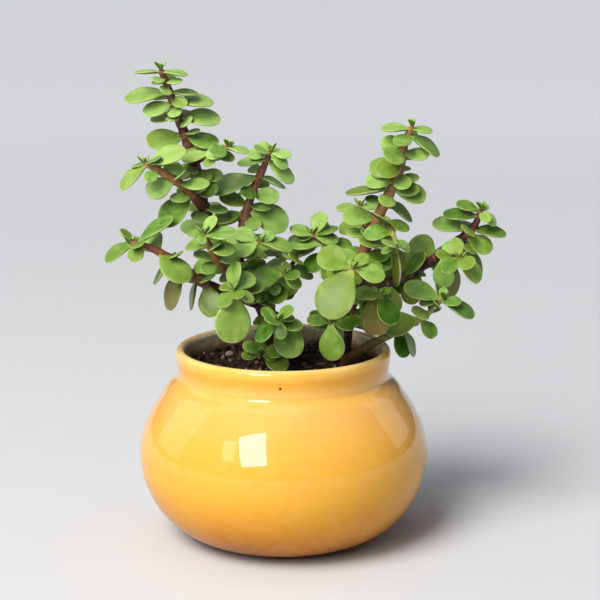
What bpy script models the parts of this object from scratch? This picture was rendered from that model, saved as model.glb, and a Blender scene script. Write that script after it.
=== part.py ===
"""Potted jade plant: a small succulent with thick spoon-shaped leaves in a round glazed pot.

Metres, +Z up. The origin is the centre of the pot's flat base. The two tall stems lean out to -X
and to +X, and the fullest side of the plant faces -Y.
"""

import math
import random
from collections import namedtuple

import bmesh
import bpy
import numpy as np
from mathutils import Vector

MM = 0.001

# Driving dimensions of the pot, in millimetres
BASE_RADIUS = 29.5
BELLY_RADIUS = 61.5
BELLY_HEIGHT = 37.5
SHOULDER_RADIUS = 49.8
SHOULDER_HEIGHT = 64.4
COLLAR_RADIUS = 44.6
COLLAR_HEIGHT = 70.8
LIP_RADIUS = 45.6
LIP_MIDDLE_HEIGHT = 79.2
POT_HEIGHT = 81.6
WALL = 4.0
FLOOR = 5.0
POT_SIDES = 32
DRAIN_HOLES = 3
DRAIN_RADIUS = 2.5
DRAIN_CIRCLE_RADIUS = 14.0

# The soil fills the pot to a little under its lip
FIT_GAP = 0.3
SOIL_HEIGHT = 73.2
SOIL_MOUND = 1.8
SOIL_SIDES = 24
SOIL_RINGS = 4
HOLE_SIDES = 12

# Stems: a thick one has six sides and a thin one four
STEM_STEP = 8.0
THICK_STEM = 2.0

# Leaves: spoons with a flat upper face and a keel below, thicker and with more rings where long
ROUNDNESS = 0.77
THICKNESS_START = 1.0
THICKNESS_GROWTH = 0.06
FLAT_FACE = 0.35
STALK_WIDTH = 1.9
STALK_THICKNESS = 1.3
SAG = 0.07
WIDEST_AT = 0.60
LEAF_SIDES = 3
LEAF_RINGS = 5
SMALL_LEAF_RINGS = 4
SMALL_LEAF = 18.0
# A leaf grows from just under a stem's end at most, and its root is sunk past the stem's middle
TOP_GAP = 1.3
ROOT_SUNK = 0.5

# Leaf faces turn this far to -Y, more so low on the plant, as they do towards a window
LOW_ROLL = 38.0
HIGH_ROLL = 25.0
LOW_LEVEL = 90.0
HIGH_LEVEL = 160.0
ROLL_SPREAD = 12.0
TURN_SEED = 7

# Pairs of smaller leaves fill each stem above its bare foot
FILL_STEP = 8.0
FILL_TRIES = 9
FILL_TURN = 15.0
FILL_LENGTHS = (11.0, 17.0)
TIP_SHRINK = 0.35
FILL_LIFTS = (-12.0, 22.0)
BARE_TRUNK = 40.0
BARE_SHOOT = 9.0

# How far a blade keeps from the other blades of its own plant, and from other plants, pot and soil
OWN_CLEARANCE = 1.15
OTHER_CLEARANCE = 2.6
FULL_LENGTH = 12.0

Stem = namedtuple("Stem", "name route leaves")
Leaf = namedtuple("Leaf", "stem base along across face length width")

# One leafy stem each: the routes are (x, y, z, stem radius) in millimetres, root first. A leaf is
# (share of the stem's length, heading, lift, length, roll): the heading is its compass direction in
# degrees from +X towards +Y, the lift is its angle above level, and the roll turns its face to -Y.
PLANTS = {
    "left_stem": [
        Stem("leader", [
            (-3, 2, 60, 3.6), (-3, 2, 74, 3.6), (-3.6, 1.5, 80, 3.5), (-9, -3, 100, 3.4),
            (-22, 0, 118, 3), (-33, 4, 139, 2.6), (-38, 6, 161, 2.3), (-45, 3, 183, 1.7),
            (-50, 0, 198, 1.2),
        ], [
            (1, 180, 3, 11.5, 8), (1, 0, -3, 11, 14), (1, -80, 40, 5), (1, 100, 35, 6),
            (0.96, -30, 8, 8), (0.96, 150, 5, 7), (0.93, 183, -4, 19, 12), (0.93, 5, 2, 12, 10),
            (0.945, -95, -12, 8), (0.89, -85, -22, 9, 20), (0.84, -60, 10, 9, 50),
            (0.77, -80, -35, 11, 20), (0.715, -100, -5, 11, 20), (0.65, -75, -30, 12, 30),
            (0.585, -100, -12, 12, 30), (0.51, -70, -25, 12, 30), (0.9, -150, -25, 14, 35),
            (0.9, 8, 4, 17), (0.86, -15, -2, 18, 30), (0.86, 178, -3, 12), (0.8, 200, -4, 17, 50),
            (0.8, -20, -38, 15, 40), (0.78, 20, 50, 9), (0.78, 20, -12, 16), (0.74, 100, 5, 14),
            (0.74, -105, -40, 10), (0.69, -20, -10, 12, 25), (0.69, 165, -5, 13), (0.62, -60, -25, 9),
            (0.62, 95, 5, 14), (0.54, 20, 5, 13), (0.54, 180, 20, 10), (0.47, -10, 8, 14, 45),
            (0.4, 140, 15, 15), (0.33, 60, 10, 16),
        ]),
        Stem("second", [
            (-19, 0, 114, 2.1), (-17, 7, 132, 1.9), (-13, 9, 146, 1.7), (-9, 9, 155, 1.5),
            (-5, 8, 164, 1.1),
        ], [
            (1, 185, -3, 9.5, 35), (1, -5, -3, 9, 20), (1, 150, 30, 7), (1, -20, -38, 10, 10),
            (0.92, -10, -38, 15), (0.92, 185, 15, 13), (0.77, 20, -20, 13), (0.77, 186, -12, 22),
            (0.62, -15, -5, 12, 55), (0.62, 110, 10, 12), (0.5, -5, -32, 19, 45), (0.45, 180, 10, 12),
            (0.42, -50, -25, 10, 30), (0.33, 75, 10, 14), (0.25, -10, -5, 14),
        ]),
        Stem("upper_right", [
            (-38, 5, 158, 1.4), (-31, -3, 163, 1.2), (-22, -6, 167, 0.9),
        ], [
            (1, -145, -40, 10, 30), (1, 0, -8, 10), (1, 60, 25, 6), (0.55, -80, -10, 9),
            (0.55, 100, 10, 9),
        ]),
        Stem("upper_left", [
            (-33, 4, 139, 2.1), (-37, -5, 146, 1.9), (-41, -9, 151, 1.7), (-49, -13, 157, 1.5),
            (-56, -15, 161, 1.1),
        ], [
            (1, 183, -48, 15), (1, 0, 24, 17, 30), (1, 110, 40, 6), (0.85, 60, 58, 8),
            (0.85, -120, -10, 8), (0.62, 200, -22, 13, 60), (0.62, -60, 30, 9), (0.35, 200, -40, 18, 50),
            (0.35, 60, 30, 10),
        ]),
        Stem("low_left", [
            (-9, -3, 100, 2.4), (-32, -13, 111, 2.1), (-44, -17, 121, 1.8), (-54, -19, 127, 1.4),
            (-62, -19, 129, 1),
        ], [
            (1, 165, 42, 8, 20), (1, -60, -35, 10, 20), (1, 180, -27, 14), (0.96, 10, 40, 19, 20),
            (0.8, -40, -42, 18.5, 20), (0.8, 120, 20, 16), (0.72, 190, -52, 13, 5),
            (0.62, 200, -66, 19, 25), (0.55, 20, 28, 14, 20), (0.5, 175, -74, 14, 10),
            (0.43, -60, -56, 15, 25), (0.43, 110, 10, 16),
        ]),
        Stem("front_left", [
            (-16, -2, 109, 1.9), (-25, -22, 120, 1.7), (-28, -32, 128, 1.4), (-31, -38, 136, 1),
        ], [
            (1, 20, 62, 9), (1, -10, 10, 13, 35), (1, 172, 10, 7, 30), (1, -100, 10, 6),
            (0.85, -35, -5, 12), (0.85, 145, 0, 12), (0.6, -130, -20, 9, 20), (0.4, 10, 20, 8, 40),
        ]),
        Stem("front_mid", [
            (-10, -3, 101, 1.4), (-16, -24, 108, 1.2), (-19, -42, 114, 0.9),
        ], [
            (1, 95, 70, 12), (0.97, 55, 58, 13), (1, -150, -60, 9), (1, 0, -25, 9, 40),
            (0.93, -102, -74, 21), (0.55, 180, -10, 10), (0.55, 10, 0, 10),
        ]),
        Stem("front_low", [
            (-7, -2, 92, 1.3), (-3, -22, 97, 1.1), (-2, -38, 101, 0.8),
        ], [
            (1, 180, 40, 8), (1, 0, 45, 8.5), (1, -165, -38, 12, 20), (1, -60, -60, 8),
            (0.7, -40, -50, 17), (0.6, 150, 0, 11),
        ]),
        Stem("front_right", [
            (-12, -2, 104, 1.2), (-5, -14, 112, 1.1), (1, -22, 117, 0.8),
        ], [
            (1, 190, -5, 13, 60), (1, -10, -33, 9), (1, 70, 40, 7), (0.6, -60, -30, 7),
            (0.5, 80, 10, 10),
        ]),
        Stem("basal", [
            (-3, 2, 80, 1.3), (-6, -15, 83, 1.1), (-9, -26, 84, 0.8),
        ], [
            (1, 178, 35, 9), (1, -10, -15, 6.5, 40), (0.8, -45, -22, 13, 30),
        ]),
        Stem("inner_right", [
            (-21, 0, 117, 1.3), (-15, -18, 128, 1.1), (-9, -27, 131, 0.8),
        ], [
            (1, 165, 25, 11), (1, 8, -8, 15), (0.95, 20, 25, 8, 30), (0.85, 175, 12, 11),
            (0.6, -60, -20, 9), (0.5, 100, 10, 10),
        ]),
        Stem("inner_back", [
            (-10, -1, 102, 1.4), (0, 8, 110, 1.2), (6, 15, 118, 0.9),
        ], [
            (1, 90, 30, 11), (1, -90, 5, 12), (1, 0, 20, 11), (1, 180, 20, 11), (0.7, 30, -10, 13),
            (0.7, -140, 0, 13), (0.45, 120, -10, 13), (0.45, -60, -10, 13),
        ]),
        Stem("back_left", [
            (-24, 1, 121, 1.4), (-30, 18, 128, 1.2), (-36, 30, 137, 0.9),
        ], [
            (1, 100, 0, 12), (1, -170, 10, 9), (1, 10, 10, 9), (0.7, 40, -20, 15), (0.7, -150, -5, 14),
            (0.45, 110, -20, 14), (0.4, 0, 0, 12),
        ]),
        Stem("back_mid", [
            (-9, -1, 98, 1.4), (-8, 16, 106, 1.2), (-12, 30, 117, 0.9),
        ], [
            (1, 95, 5, 12), (1, 180, 5, 10), (1, 0, 10, 10), (0.75, 60, -20, 15), (0.75, -120, 10, 12),
            (0.5, 150, -25, 14), (0.5, -10, -20, 14), (0.3, 90, -50, 15),
        ]),
    ],
    "right_stem": [
        Stem("right_leader", [
            (26, 8, 60, 3), (26, 8, 74, 3), (26.2, 7.8, 80, 2.9), (28, 6, 96, 2.8), (32, 4, 113, 2.6),
            (36, 2, 128, 2.4), (42, 0, 142, 2.2), (48, -2, 156, 1.8), (50, -4, 168, 1.5),
            (53, -5, 175, 1.1),
        ], [
            (1, 180, 5, 12.5, 6), (1, -2, -2, 9, 12), (1, -120, 35, 6), (1, 90, 30, 5),
            (0.91, -120, -8, 14, 40), (0.82, -75, -20, 11, 30), (0.745, -100, -15, 11, 30),
            (0.67, -80, -30, 12, 30), (0.6, -100, 0, 11, 30), (0.52, -75, -35, 12, 30),
            (0.97, -5, -31, 16), (0.93, 185, 8, 10, 40), (0.93, 0, 15, 6), (0.88, -140, -22, 14, 30),
            (0.88, 50, 5, 9), (0.84, 176, -14, 13, 70), (0.8, 190, 0, 13, 25), (0.8, 0, 12, 10, 20),
            (0.77, -10, -12, 15, 40), (0.77, 182, -2, 20, 15), (0.72, 15, -42, 15), (0.72, 190, 0, 9),
            (0.65, 180, 8, 15), (0.62, 30, 25, 10), (0.58, 185, 15, 10, 30), (0.55, 30, -20, 13),
            (0.5, 190, 12, 11, 40), (0.45, 190, 0, 17, 55), (0.45, 60, 0, 16), (0.33, 120, 0, 17),
            (0.25, 60, -10, 17), (0.4, -15, -25, 17, 30), (0.3, -10, 5, 17, 30),
        ]),
        Stem("far_right", [
            (31, 4, 107, 2.2), (45, 6, 108, 2.1), (60, 8, 115, 2), (72, 6, 124, 2.1), (80, 4, 132, 1.6),
            (83, 3, 140, 1.1),
        ], [
            (1, 178, 22, 11), (1, -10, -28, 9), (1, -60, -60, 7), (1, 60, 25, 7), (0.95, 182, 6, 15.5),
            (0.95, 0, 10, 8), (0.85, 178, 12, 17), (0.85, -5, -4, 15), (0.8, -25, -28, 13, 30),
            (0.74, -20, -60, 20, 20), (0.65, 100, 0, 13), (0.55, 170, 28, 16, 50), (0.5, 185, -3, 14),
            (0.5, 20, -40, 13), (0.62, -30, -70, 21, 25), (0.35, 80, 0, 17), (0.2, 50, 50, 18),
            (0.2, -60, -60, 14), (0.42, -150, -40, 16), (0.3, -20, 20, 15),
        ]),
        Stem("big_leaf", [
            (34, 3, 119, 1.4), (31, -20, 120, 1.2), (28, -38, 122, 0.9),
        ], [
            (1, 165, 22, 16, 50), (0.97, -150, -52, 23, 50), (1, -10, -13, 13, 50), (1, 20, 45, 8),
            (0.6, 170, -12, 14), (0.6, 0, 0, 10),
        ]),
        Stem("drooping", [
            (40, 1, 137, 1.3), (44, -16, 134, 1.1), (46, -26, 128, 0.9),
        ], [
            (1, 10, -86, 17, 0), (1, 180, -20, 7), (0.5, -100, -30, 8, 20), (0.3, 5, -12, 11),
            (0.85, 10, -30, 8),
        ]),
        Stem("inner_left", [
            (29, 5, 100, 1.5), (23, 11, 117, 1.3), (12, 12, 128, 0.9),
        ], [
            (1, 30, 48, 11), (1, 185, 20, 11), (1, 0, 22, 11), (0.9, 60, 70, 12), (0.8, 180, -3, 16, 40),
            (0.75, 20, 5, 12), (0.6, 180, -8, 15), (0.45, 100, 0, 13), (0.4, -20, 15, 12),
        ]),
        Stem("back_right", [
            (35, 3, 124, 1.3), (36, 20, 132, 1.1), (33, 27, 138, 0.9),
        ], [
            (1, 180, 2, 11), (1, 20, 5, 10), (1, 90, 30, 7), (0.7, 95, -15, 13), (0.6, 10, -10, 13),
            (0.6, 180, -20, 13),
        ]),
        Stem("back_far", [
            (29, 6, 100, 1.4), (40, 22, 106, 1.2), (48, 32, 114, 0.9),
        ], [
            (1, 60, 5, 14), (1, -20, 5, 14), (1, 150, 20, 11), (0.75, 120, -15, 17),
            (0.75, -30, -25, 16), (0.5, 80, -35, 17), (0.5, 170, 0, 14), (0.45, -40, -30, 16),
        ]),
        Stem("inner_front", [
            (27, 6, 92, 1.3), (23, -12, 95, 1.1), (19, -24, 97, 0.8),
        ], [
            (1, -80, -74, 16), (1, 175, 10, 10, 30), (0.9, 20, -40, 9), (0.7, 172, 20, 12, 30),
            (0.6, 0, 0, 10),
        ]),
        Stem("mid_front", [
            (29, 6, 98, 1.3), (35, -14, 106, 1.1), (39, -26, 109, 0.8),
        ], [
            (0.75, -85, -68, 17), (1, -100, -72, 17), (1, 165, 5, 10, 50), (1, -35, -52, 14),
            (1, 20, 25, 6), (0.6, 60, 0, 10),
        ]),
        Stem("far_right_twig", [
            (64, 8, 118, 1.2), (70, -5, 121, 1), (73, -14, 122, 0.8),
        ], [
            (1, -15, -45, 13), (1, -150, -30, 10, 40), (1, 120, 62, 9), (0.3, -80, -75, 13),
            (0.6, 100, 10, 9),
        ]),
    ],
    "low_sprig": [
        Stem("low_sprig", [
            (25.5, -10, 60, 2.2), (25.5, -10, 73, 2.2), (26.2, -9.4, 77, 2.1), (32, -5, 80.4, 2),
            (39, 0, 83.4, 1.8), (46, 2.5, 86, 1.5), (50.5, 0.5, 89.8, 1.3), (58.6, -4, 94.6, 1.1),
            (66.6, -10, 104.4, 0.8),
        ], [
            (1, -5, -22, 15.5, 15), (1, 174, 24, 17, 15), (1, 60, 55, 6), (0.93, -80, 20, 8),
            (0.79, 186, -10, 16.5, 40), (0.79, -20, -46, 10), (0.61, -70, -78, 12, 10),
            (0.655, -10, -70, 14, 0), (0.7, 60, 10, 9),
        ]),
    ],
}
LEAF_COLOURS = {
    "left_stem": (0.20, 0.36, 0.06),
    "right_stem": (0.17, 0.33, 0.05),
    "low_sprig": (0.23, 0.40, 0.08),
}


def cubic(start, leave, arrive, end, steps):
    """Points of a cubic Bezier curve, its first point left out."""
    points = []
    for step in range(1, steps + 1):
        t = step / steps
        weights = ((1 - t) ** 3, 3 * t * (1 - t) ** 2, 3 * t * t * (1 - t), t ** 3)
        points.append(tuple(
            sum(w * p[axis] for w, p in zip(weights, (start, leave, arrive, end))) for axis in range(2)
        ))
    return points


def quarter(start, corner, end, steps):
    """A quarter of an ellipse between two points, round the corner of its box."""
    round_share = 0.5523
    leave = [s + round_share * (c - s) for s, c in zip(start, corner)]
    arrive = [e + round_share * (c - e) for e, c in zip(end, corner)]
    return cubic(start, leave, arrive, end, steps)


def outer_profile():
    """The pot's outer wall from the middle of its base up to the top of its lip, as (radius, height)."""
    points = [(0.0, 0.0), (BASE_RADIUS, 0.0)]
    points += quarter(points[-1], (BELLY_RADIUS, 0.0), (BELLY_RADIUS, BELLY_HEIGHT), 6)
    shoulder = (SHOULDER_RADIUS, SHOULDER_HEIGHT)
    points += cubic(points[-1], (BELLY_RADIUS, 48.2), (54.8, 56.8), shoulder, 4)
    collar = (COLLAR_RADIUS, COLLAR_HEIGHT)
    points += cubic(shoulder, (47.6, 67.6), (COLLAR_RADIUS, 67.7), collar, 3)
    points += cubic(collar, (COLLAR_RADIUS, 74.6), (LIP_RADIUS, 76.2), (LIP_RADIUS, LIP_MIDDLE_HEIGHT), 2)
    crest = (LIP_RADIUS - WALL / 2, POT_HEIGHT)
    points += quarter(points[-1], (LIP_RADIUS, POT_HEIGHT), crest, 2)
    return points


def inner_profile(gap=0.0):
    """The pot's inner wall from the lip down to the middle of its floor, moved inwards by a gap."""
    lip = (LIP_RADIUS - WALL - gap, LIP_MIDDLE_HEIGHT)
    throat = (COLLAR_RADIUS - WALL + 0.5 - gap, COLLAR_HEIGHT - 1.0)
    shoulder = (SHOULDER_RADIUS - 3.4 - gap, SHOULDER_HEIGHT - 2.1 - gap)
    belly = (BELLY_RADIUS - WALL - gap, BELLY_HEIGHT)
    floor_edge = (BASE_RADIUS - 1.0 - gap, FLOOR + gap)
    points = [lip]
    points += cubic(lip, (lip[0], 75.6), (throat[0], 72.3), throat, 2)
    points += cubic(throat, (throat[0], 66.9), (shoulder[0] - 2.0, shoulder[1] + 2.8), shoulder, 2)
    points += cubic(shoulder, (shoulder[0] + 4.7, shoulder[1] - 7.5), (belly[0], 47.5), belly, 3)
    points += quarter(belly, (belly[0], floor_edge[1]), floor_edge, 4)
    points.append((0.0, floor_edge[1]))
    return points


def turned(name, profile, sides):
    """A solid turned round +Z from a closed profile whose ends lie on the axis."""
    shape = bmesh.new()
    verts = [shape.verts.new((radius * MM, 0.0, height * MM)) for radius, height in profile]
    edges = [shape.edges.new(pair) for pair in zip(verts, verts[1:])]
    bmesh.ops.spin(shape, geom=verts + edges, cent=(0, 0, 0), axis=(0, 0, 1), angle=2 * math.pi,
                   steps=sides, use_merge=True)
    bmesh.ops.remove_doubles(shape, verts=shape.verts, dist=0.00001)
    bmesh.ops.recalc_face_normals(shape, faces=shape.faces)
    return add_object(name, shape)


def add_object(name, shape):
    mesh = bpy.data.meshes.new(name)
    shape.to_mesh(mesh)
    shape.free()
    piece = bpy.data.objects.new(name, mesh)
    bpy.context.collection.objects.link(piece)
    return piece


def drop(piece):
    mesh = piece.data
    bpy.data.objects.remove(piece)
    if mesh.users == 0:
        bpy.data.meshes.remove(mesh)


def bake(piece):
    """Replaces a piece's mesh by what its modifiers make of it."""
    evaluated = piece.evaluated_get(bpy.context.evaluated_depsgraph_get())
    mesh = bpy.data.meshes.new_from_object(evaluated)
    piece.modifiers.clear()
    piece.data = mesh


def cut(piece, cutter):
    """Cuts a closed shape out of a piece."""
    modifier = piece.modifiers.new("cut", "BOOLEAN")
    modifier.operation = "DIFFERENCE"
    modifier.object = cutter
    bake(piece)
    drop(cutter)


def round_bar(name, x, y, low, high, radius, sides=HOLE_SIDES):
    """An upright closed cylinder, in millimetres."""
    shape = bmesh.new()
    bmesh.ops.create_cone(shape, cap_ends=True, segments=sides, radius1=radius * MM, radius2=radius * MM,
                          depth=(high - low) * MM)
    bmesh.ops.translate(shape, verts=shape.verts, vec=Vector((x, y, (low + high) / 2)) * MM)
    return add_object(name, shape)


def finish(piece, colour, roughness):
    """Gives a piece its own Principled material and smooth round faces."""
    material = bpy.data.materials.new(piece.name)
    material.use_nodes = True
    shader = material.node_tree.nodes["Principled BSDF"]
    shader.inputs["Base Color"].default_value = (*colour, 1.0)
    shader.inputs["Roughness"].default_value = roughness
    shader.inputs["Metallic"].default_value = 0.0
    piece.data.materials.clear()
    piece.data.materials.append(material)
    piece.data.shade_smooth()
    piece.data.set_sharp_from_angle(angle=math.radians(40))


def make_pot():
    """The turned glazed pot, with three drain holes round the middle of its floor."""
    pot = turned("pot", outer_profile() + inner_profile(), POT_SIDES)
    for number in range(DRAIN_HOLES):
        turn = math.pi / 2 + number * 2 * math.pi / DRAIN_HOLES
        x = DRAIN_CIRCLE_RADIUS * math.cos(turn)
        y = DRAIN_CIRCLE_RADIUS * math.sin(turn)
        cut(pot, round_bar("drain", x, y, -FLOOR, 2 * FLOOR, DRAIN_RADIUS))
    finish(pot, (0.85, 0.45, 0.07), 0.12)
    return pot


def soil_relief(x, y):
    """Height of the soil's top over its edge: a low mound with a few soft lumps."""
    edge = inner_profile(FIT_GAP)[0][0]
    inside = 1 - min(1.0, math.hypot(x, y) / edge) ** 2
    lumps = math.sin(0.31 * x + 0.9) * math.cos(0.27 * y - 0.4) + 0.5 * math.sin(0.55 * y + 0.2 * x)
    return SOIL_MOUND * inside * (0.8 + 0.45 * lumps)


def make_soil(stems):
    """The potting mix: it fills the pot with a hair's gap, and each stem stands in a plain hole."""
    wall = [point for point in inner_profile(FIT_GAP) if point[1] < SOIL_HEIGHT]
    edge = inner_profile(FIT_GAP)[0][0] - 0.4
    top = [(edge * ring / SOIL_RINGS, SOIL_HEIGHT) for ring in range(SOIL_RINGS + 1)]
    soil = turned("soil", top + wall, SOIL_SIDES)
    for vertex in soil.data.vertices:
        if vertex.co.z > (SOIL_HEIGHT - 0.1) * MM:
            vertex.co.z += soil_relief(vertex.co.x / MM, vertex.co.y / MM) * MM
    for stem in stems:
        x, y, low, radius = stem.route[0]
        cut(soil, round_bar("hole", x, y, low - FIT_GAP, POT_HEIGHT, radius + 2 * FIT_GAP))
    finish(soil, (0.045, 0.028, 0.018), 0.95)
    return soil


def smooth_route(route, steps=8):
    """A Catmull-Rom curve through the route's points, as rows of x, y, z and radius."""
    points = np.array(route, dtype=float)
    rows = []
    last = len(points) - 1
    for index in range(last):
        before, start = points[max(index - 1, 0)], points[index]
        end, after = points[index + 1], points[min(index + 2, last)]
        for step in range(steps):
            t = step / steps
            rows.append(0.5 * (
                2 * start + (end - before) * t + (2 * before - 5 * start + 4 * end - after) * t * t
                + (3 * start - before - 3 * end + after) * t ** 3
            ))
    rows.append(points[last])
    return np.array(rows)


def along_route(route, share):
    """The x, y, z and radius at a share of a route's length."""
    rows = smooth_route(route)
    reach = np.concatenate(([0.0], np.cumsum(np.linalg.norm(np.diff(rows[:, :3], axis=0), axis=1))))
    return np.array([np.interp(share * reach[-1], reach, rows[:, column]) for column in range(4)])


def leaf_axes(heading, lift, roll):
    """A leaf's own axes: along its rib, across its blade, and out of its upper face."""
    heading, lift, roll = (math.radians(angle) for angle in (heading, lift, roll))
    along = np.array([math.cos(lift) * math.cos(heading), math.cos(lift) * math.sin(heading), math.sin(lift)])
    level = np.array([-math.sin(heading), math.cos(heading), 0.0])
    upper = np.cross(along, level)
    towards_viewer = -level if level[1] > 0.05 or (abs(level[1]) <= 0.05 and level[0] < 0) else level
    face = math.cos(roll) * upper + math.sin(roll) * towards_viewer
    return along, np.cross(face, along), face


def blade_width(t):
    """Half the blade's width at a share of its length, as a share of its greatest half width."""
    if t > WIDEST_AT:
        return math.sqrt(max(0.0, 1 - ((t - WIDEST_AT) / (1 - WIDEST_AT)) ** 2))
    return math.sin(math.pi / 2 * t / WIDEST_AT) ** 1.4


def grow_leaf(stem, base, heading, lift, length, roll):
    along, across, face = leaf_axes(heading, lift, roll)
    root = base - along * ROOT_SUNK
    return Leaf(stem, root, along, across, face, length + ROOT_SUNK, length * ROUNDNESS)


def blade_samples(leaf):
    """Points spread over a leaf's blade, its stalk left out."""
    points = []
    for t in np.linspace(0.34, 0.97, 8):
        for side in np.linspace(-0.85, 0.85, 5):
            offset = leaf.along * t * leaf.length - leaf.face * SAG * leaf.length * t * t
            points.append(leaf.base + offset + leaf.across * side * blade_width(t) * leaf.width / 2)
    return np.array(points)


def stem_points(stems):
    """Points down the middle of a plant's stems, and the stem's radius at each."""
    rows = np.vstack([smooth_route(stem.route) for stem in stems])
    return rows[:, :3], rows[:, 3]


def clear_of_pot(points):
    """True where a blade stays off the pot's lip and wall, and off the soil."""
    radius = np.hypot(points[:, 0], points[:, 1])
    height = points[:, 2]
    over = height > POT_HEIGHT + OWN_CLEARANCE
    in_mouth = (radius < LIP_RADIUS - WALL - OWN_CLEARANCE) & (height > SOIL_HEIGHT + 2 * SOIL_MOUND)
    outside = (radius > LIP_RADIUS + OWN_CLEARANCE) & (height > COLLAR_HEIGHT)
    return bool(np.all(over | in_mouth | outside))


def nearest(points, others):
    """The least distance between two sets of points."""
    return np.sqrt(((points[:, None, :] - others[None, :, :]) ** 2).sum(axis=2).min())


def room_of(leaf, plant, settled, stems_of):
    """How clear a leaf is: 1 or more is clear enough, and below 1 it is too near another plant."""
    points = blade_samples(leaf)
    if not clear_of_pot(points):
        return 0.0
    middle = points.mean(axis=0)
    room = 2.0
    for other_plant, other_middle, other_points in settled:
        if np.linalg.norm(middle - other_middle) < 28.0:
            own = OWN_CLEARANCE * min(1.0, leaf.length / FULL_LENGTH)
            clearance = own if other_plant == plant else OTHER_CLEARANCE
            room = min(room, nearest(points, other_points) / clearance)
    for other_plant, (centres, radii) in stems_of.items():
        clearance = 0.6 if other_plant == plant else OTHER_CLEARANCE
        distance = np.linalg.norm(points[:, None, :] - centres[None, :, :], axis=2) - radii[None, :]
        room = min(room, distance.min() / clearance)
    return room


def stem_length(stem):
    """A stem's length along its curve, in millimetres."""
    return np.linalg.norm(np.diff(smooth_route(stem.route)[:, :3], axis=0), axis=1).sum()


def fill_pairs(stem, draw):
    """Leaf pairs all along a stem, each a quarter turn from the last, and smaller towards its tip."""
    bare = BARE_TRUNK if stem.route[0][2] < SOIL_HEIGHT else BARE_SHOOT
    length = stem_length(stem)
    heading = draw.uniform(0, 180)
    rows = []
    reach = length * 0.97
    while reach > bare:
        for side in (0, 180):
            turn = heading + side + draw.uniform(-FILL_TURN, FILL_TURN)
            lift = draw.uniform(*FILL_LIFTS)
            leaf_length = draw.uniform(*FILL_LENGTHS) * (1 - TIP_SHRINK * reach / length)
            rows.append((reach / length, turn, lift, leaf_length))
        heading += 90
        reach -= FILL_STEP
    return rows


def settle(plants):
    """Turns each leaf a little, where it must, until it is clear of what grew before it.

    The leaves set by hand come first, those nearest -Y ahead. The pairs that fill the stems come
    last, and one that finds no room doesn't grow.
    """
    draw = random.Random(TURN_SEED)
    wanted = []
    fill = []
    for plant, stems in plants.items():
        for stem in stems:
            top = 1 - TOP_GAP / stem_length(stem)
            for rows, leaves in ((wanted, stem.leaves), (fill, fill_pairs(stem, draw))):
                for share, heading, lift, length, *roll in leaves:
                    base = along_route(stem.route, min(share, top))[:3]
                    high = min(1.0, max(0.0, (base[2] - LOW_LEVEL) / (HIGH_LEVEL - LOW_LEVEL)))
                    roll = roll[0] if roll else LOW_ROLL + (HIGH_ROLL - LOW_ROLL) * high
                    roll += draw.uniform(-ROLL_SPREAD, ROLL_SPREAD)
                    rows.append((plant, stem.name, base, heading, lift, length, roll))
    wanted.sort(key=lambda row: row[2][1] + row[5] * leaf_axes(row[3], row[4], 0)[0][1])
    swings = [(turn, rise) for turn in range(-36, 37, 12) for rise in range(-30, 31, 10)]
    swings.sort(key=lambda swing: abs(swing[0]) + abs(swing[1]))
    stems_of = {plant: stem_points(stems) for plant, stems in plants.items()}
    settled = []
    leaves = {plant: [] for plant in plants}
    for rows, tries in ((wanted, swings), (fill, swings[:FILL_TRIES])):
        for plant, stem, base, heading, lift, length, roll in rows:
            for turn, rise in tries:
                leaf = grow_leaf(stem, base, heading + turn, lift + rise, length, roll)
                if room_of(leaf, plant, settled, stems_of) >= 1:
                    points = blade_samples(leaf)
                    settled.append((plant, points.mean(axis=0), points))
                    leaves[plant].append(leaf)
                    break
    return leaves


def leaf_body(leaf):
    """A thick spoon with a flat face and a keel: a sphere whose poles are the leaf's root and tip."""
    shape = bmesh.new()
    rings = SMALL_LEAF_RINGS if leaf.length < SMALL_LEAF else LEAF_RINGS
    bmesh.ops.create_uvsphere(shape, u_segments=LEAF_SIDES, v_segments=rings, radius=1)
    plumpness = THICKNESS_START + THICKNESS_GROWTH * leaf.length
    for vertex in shape.verts:
        t = (1 + vertex.co.z) / 2
        on_axis = math.hypot(vertex.co.x, vertex.co.y) < 0.001
        across = 0 if on_axis else -round(math.sin(math.atan2(vertex.co.x, vertex.co.y)))
        width = blade_width(t) * leaf.width / 2
        thickness = plumpness * math.sqrt(max(0.0, math.sin(math.pi * t)))
        if t < WIDEST_AT:
            width = max(width, STALK_WIDTH / 2)
            thickness = max(thickness, STALK_THICKNESS)
        rise = 0.0 if on_axis else (FLAT_FACE if across else FLAT_FACE - 1) * thickness
        place = leaf.base + leaf.along * t * leaf.length + leaf.across * across * width
        place = place + leaf.face * (rise - SAG * leaf.length * t * t)
        vertex.co = Vector(place) * MM
    return add_object("leaf", shape)


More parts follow.
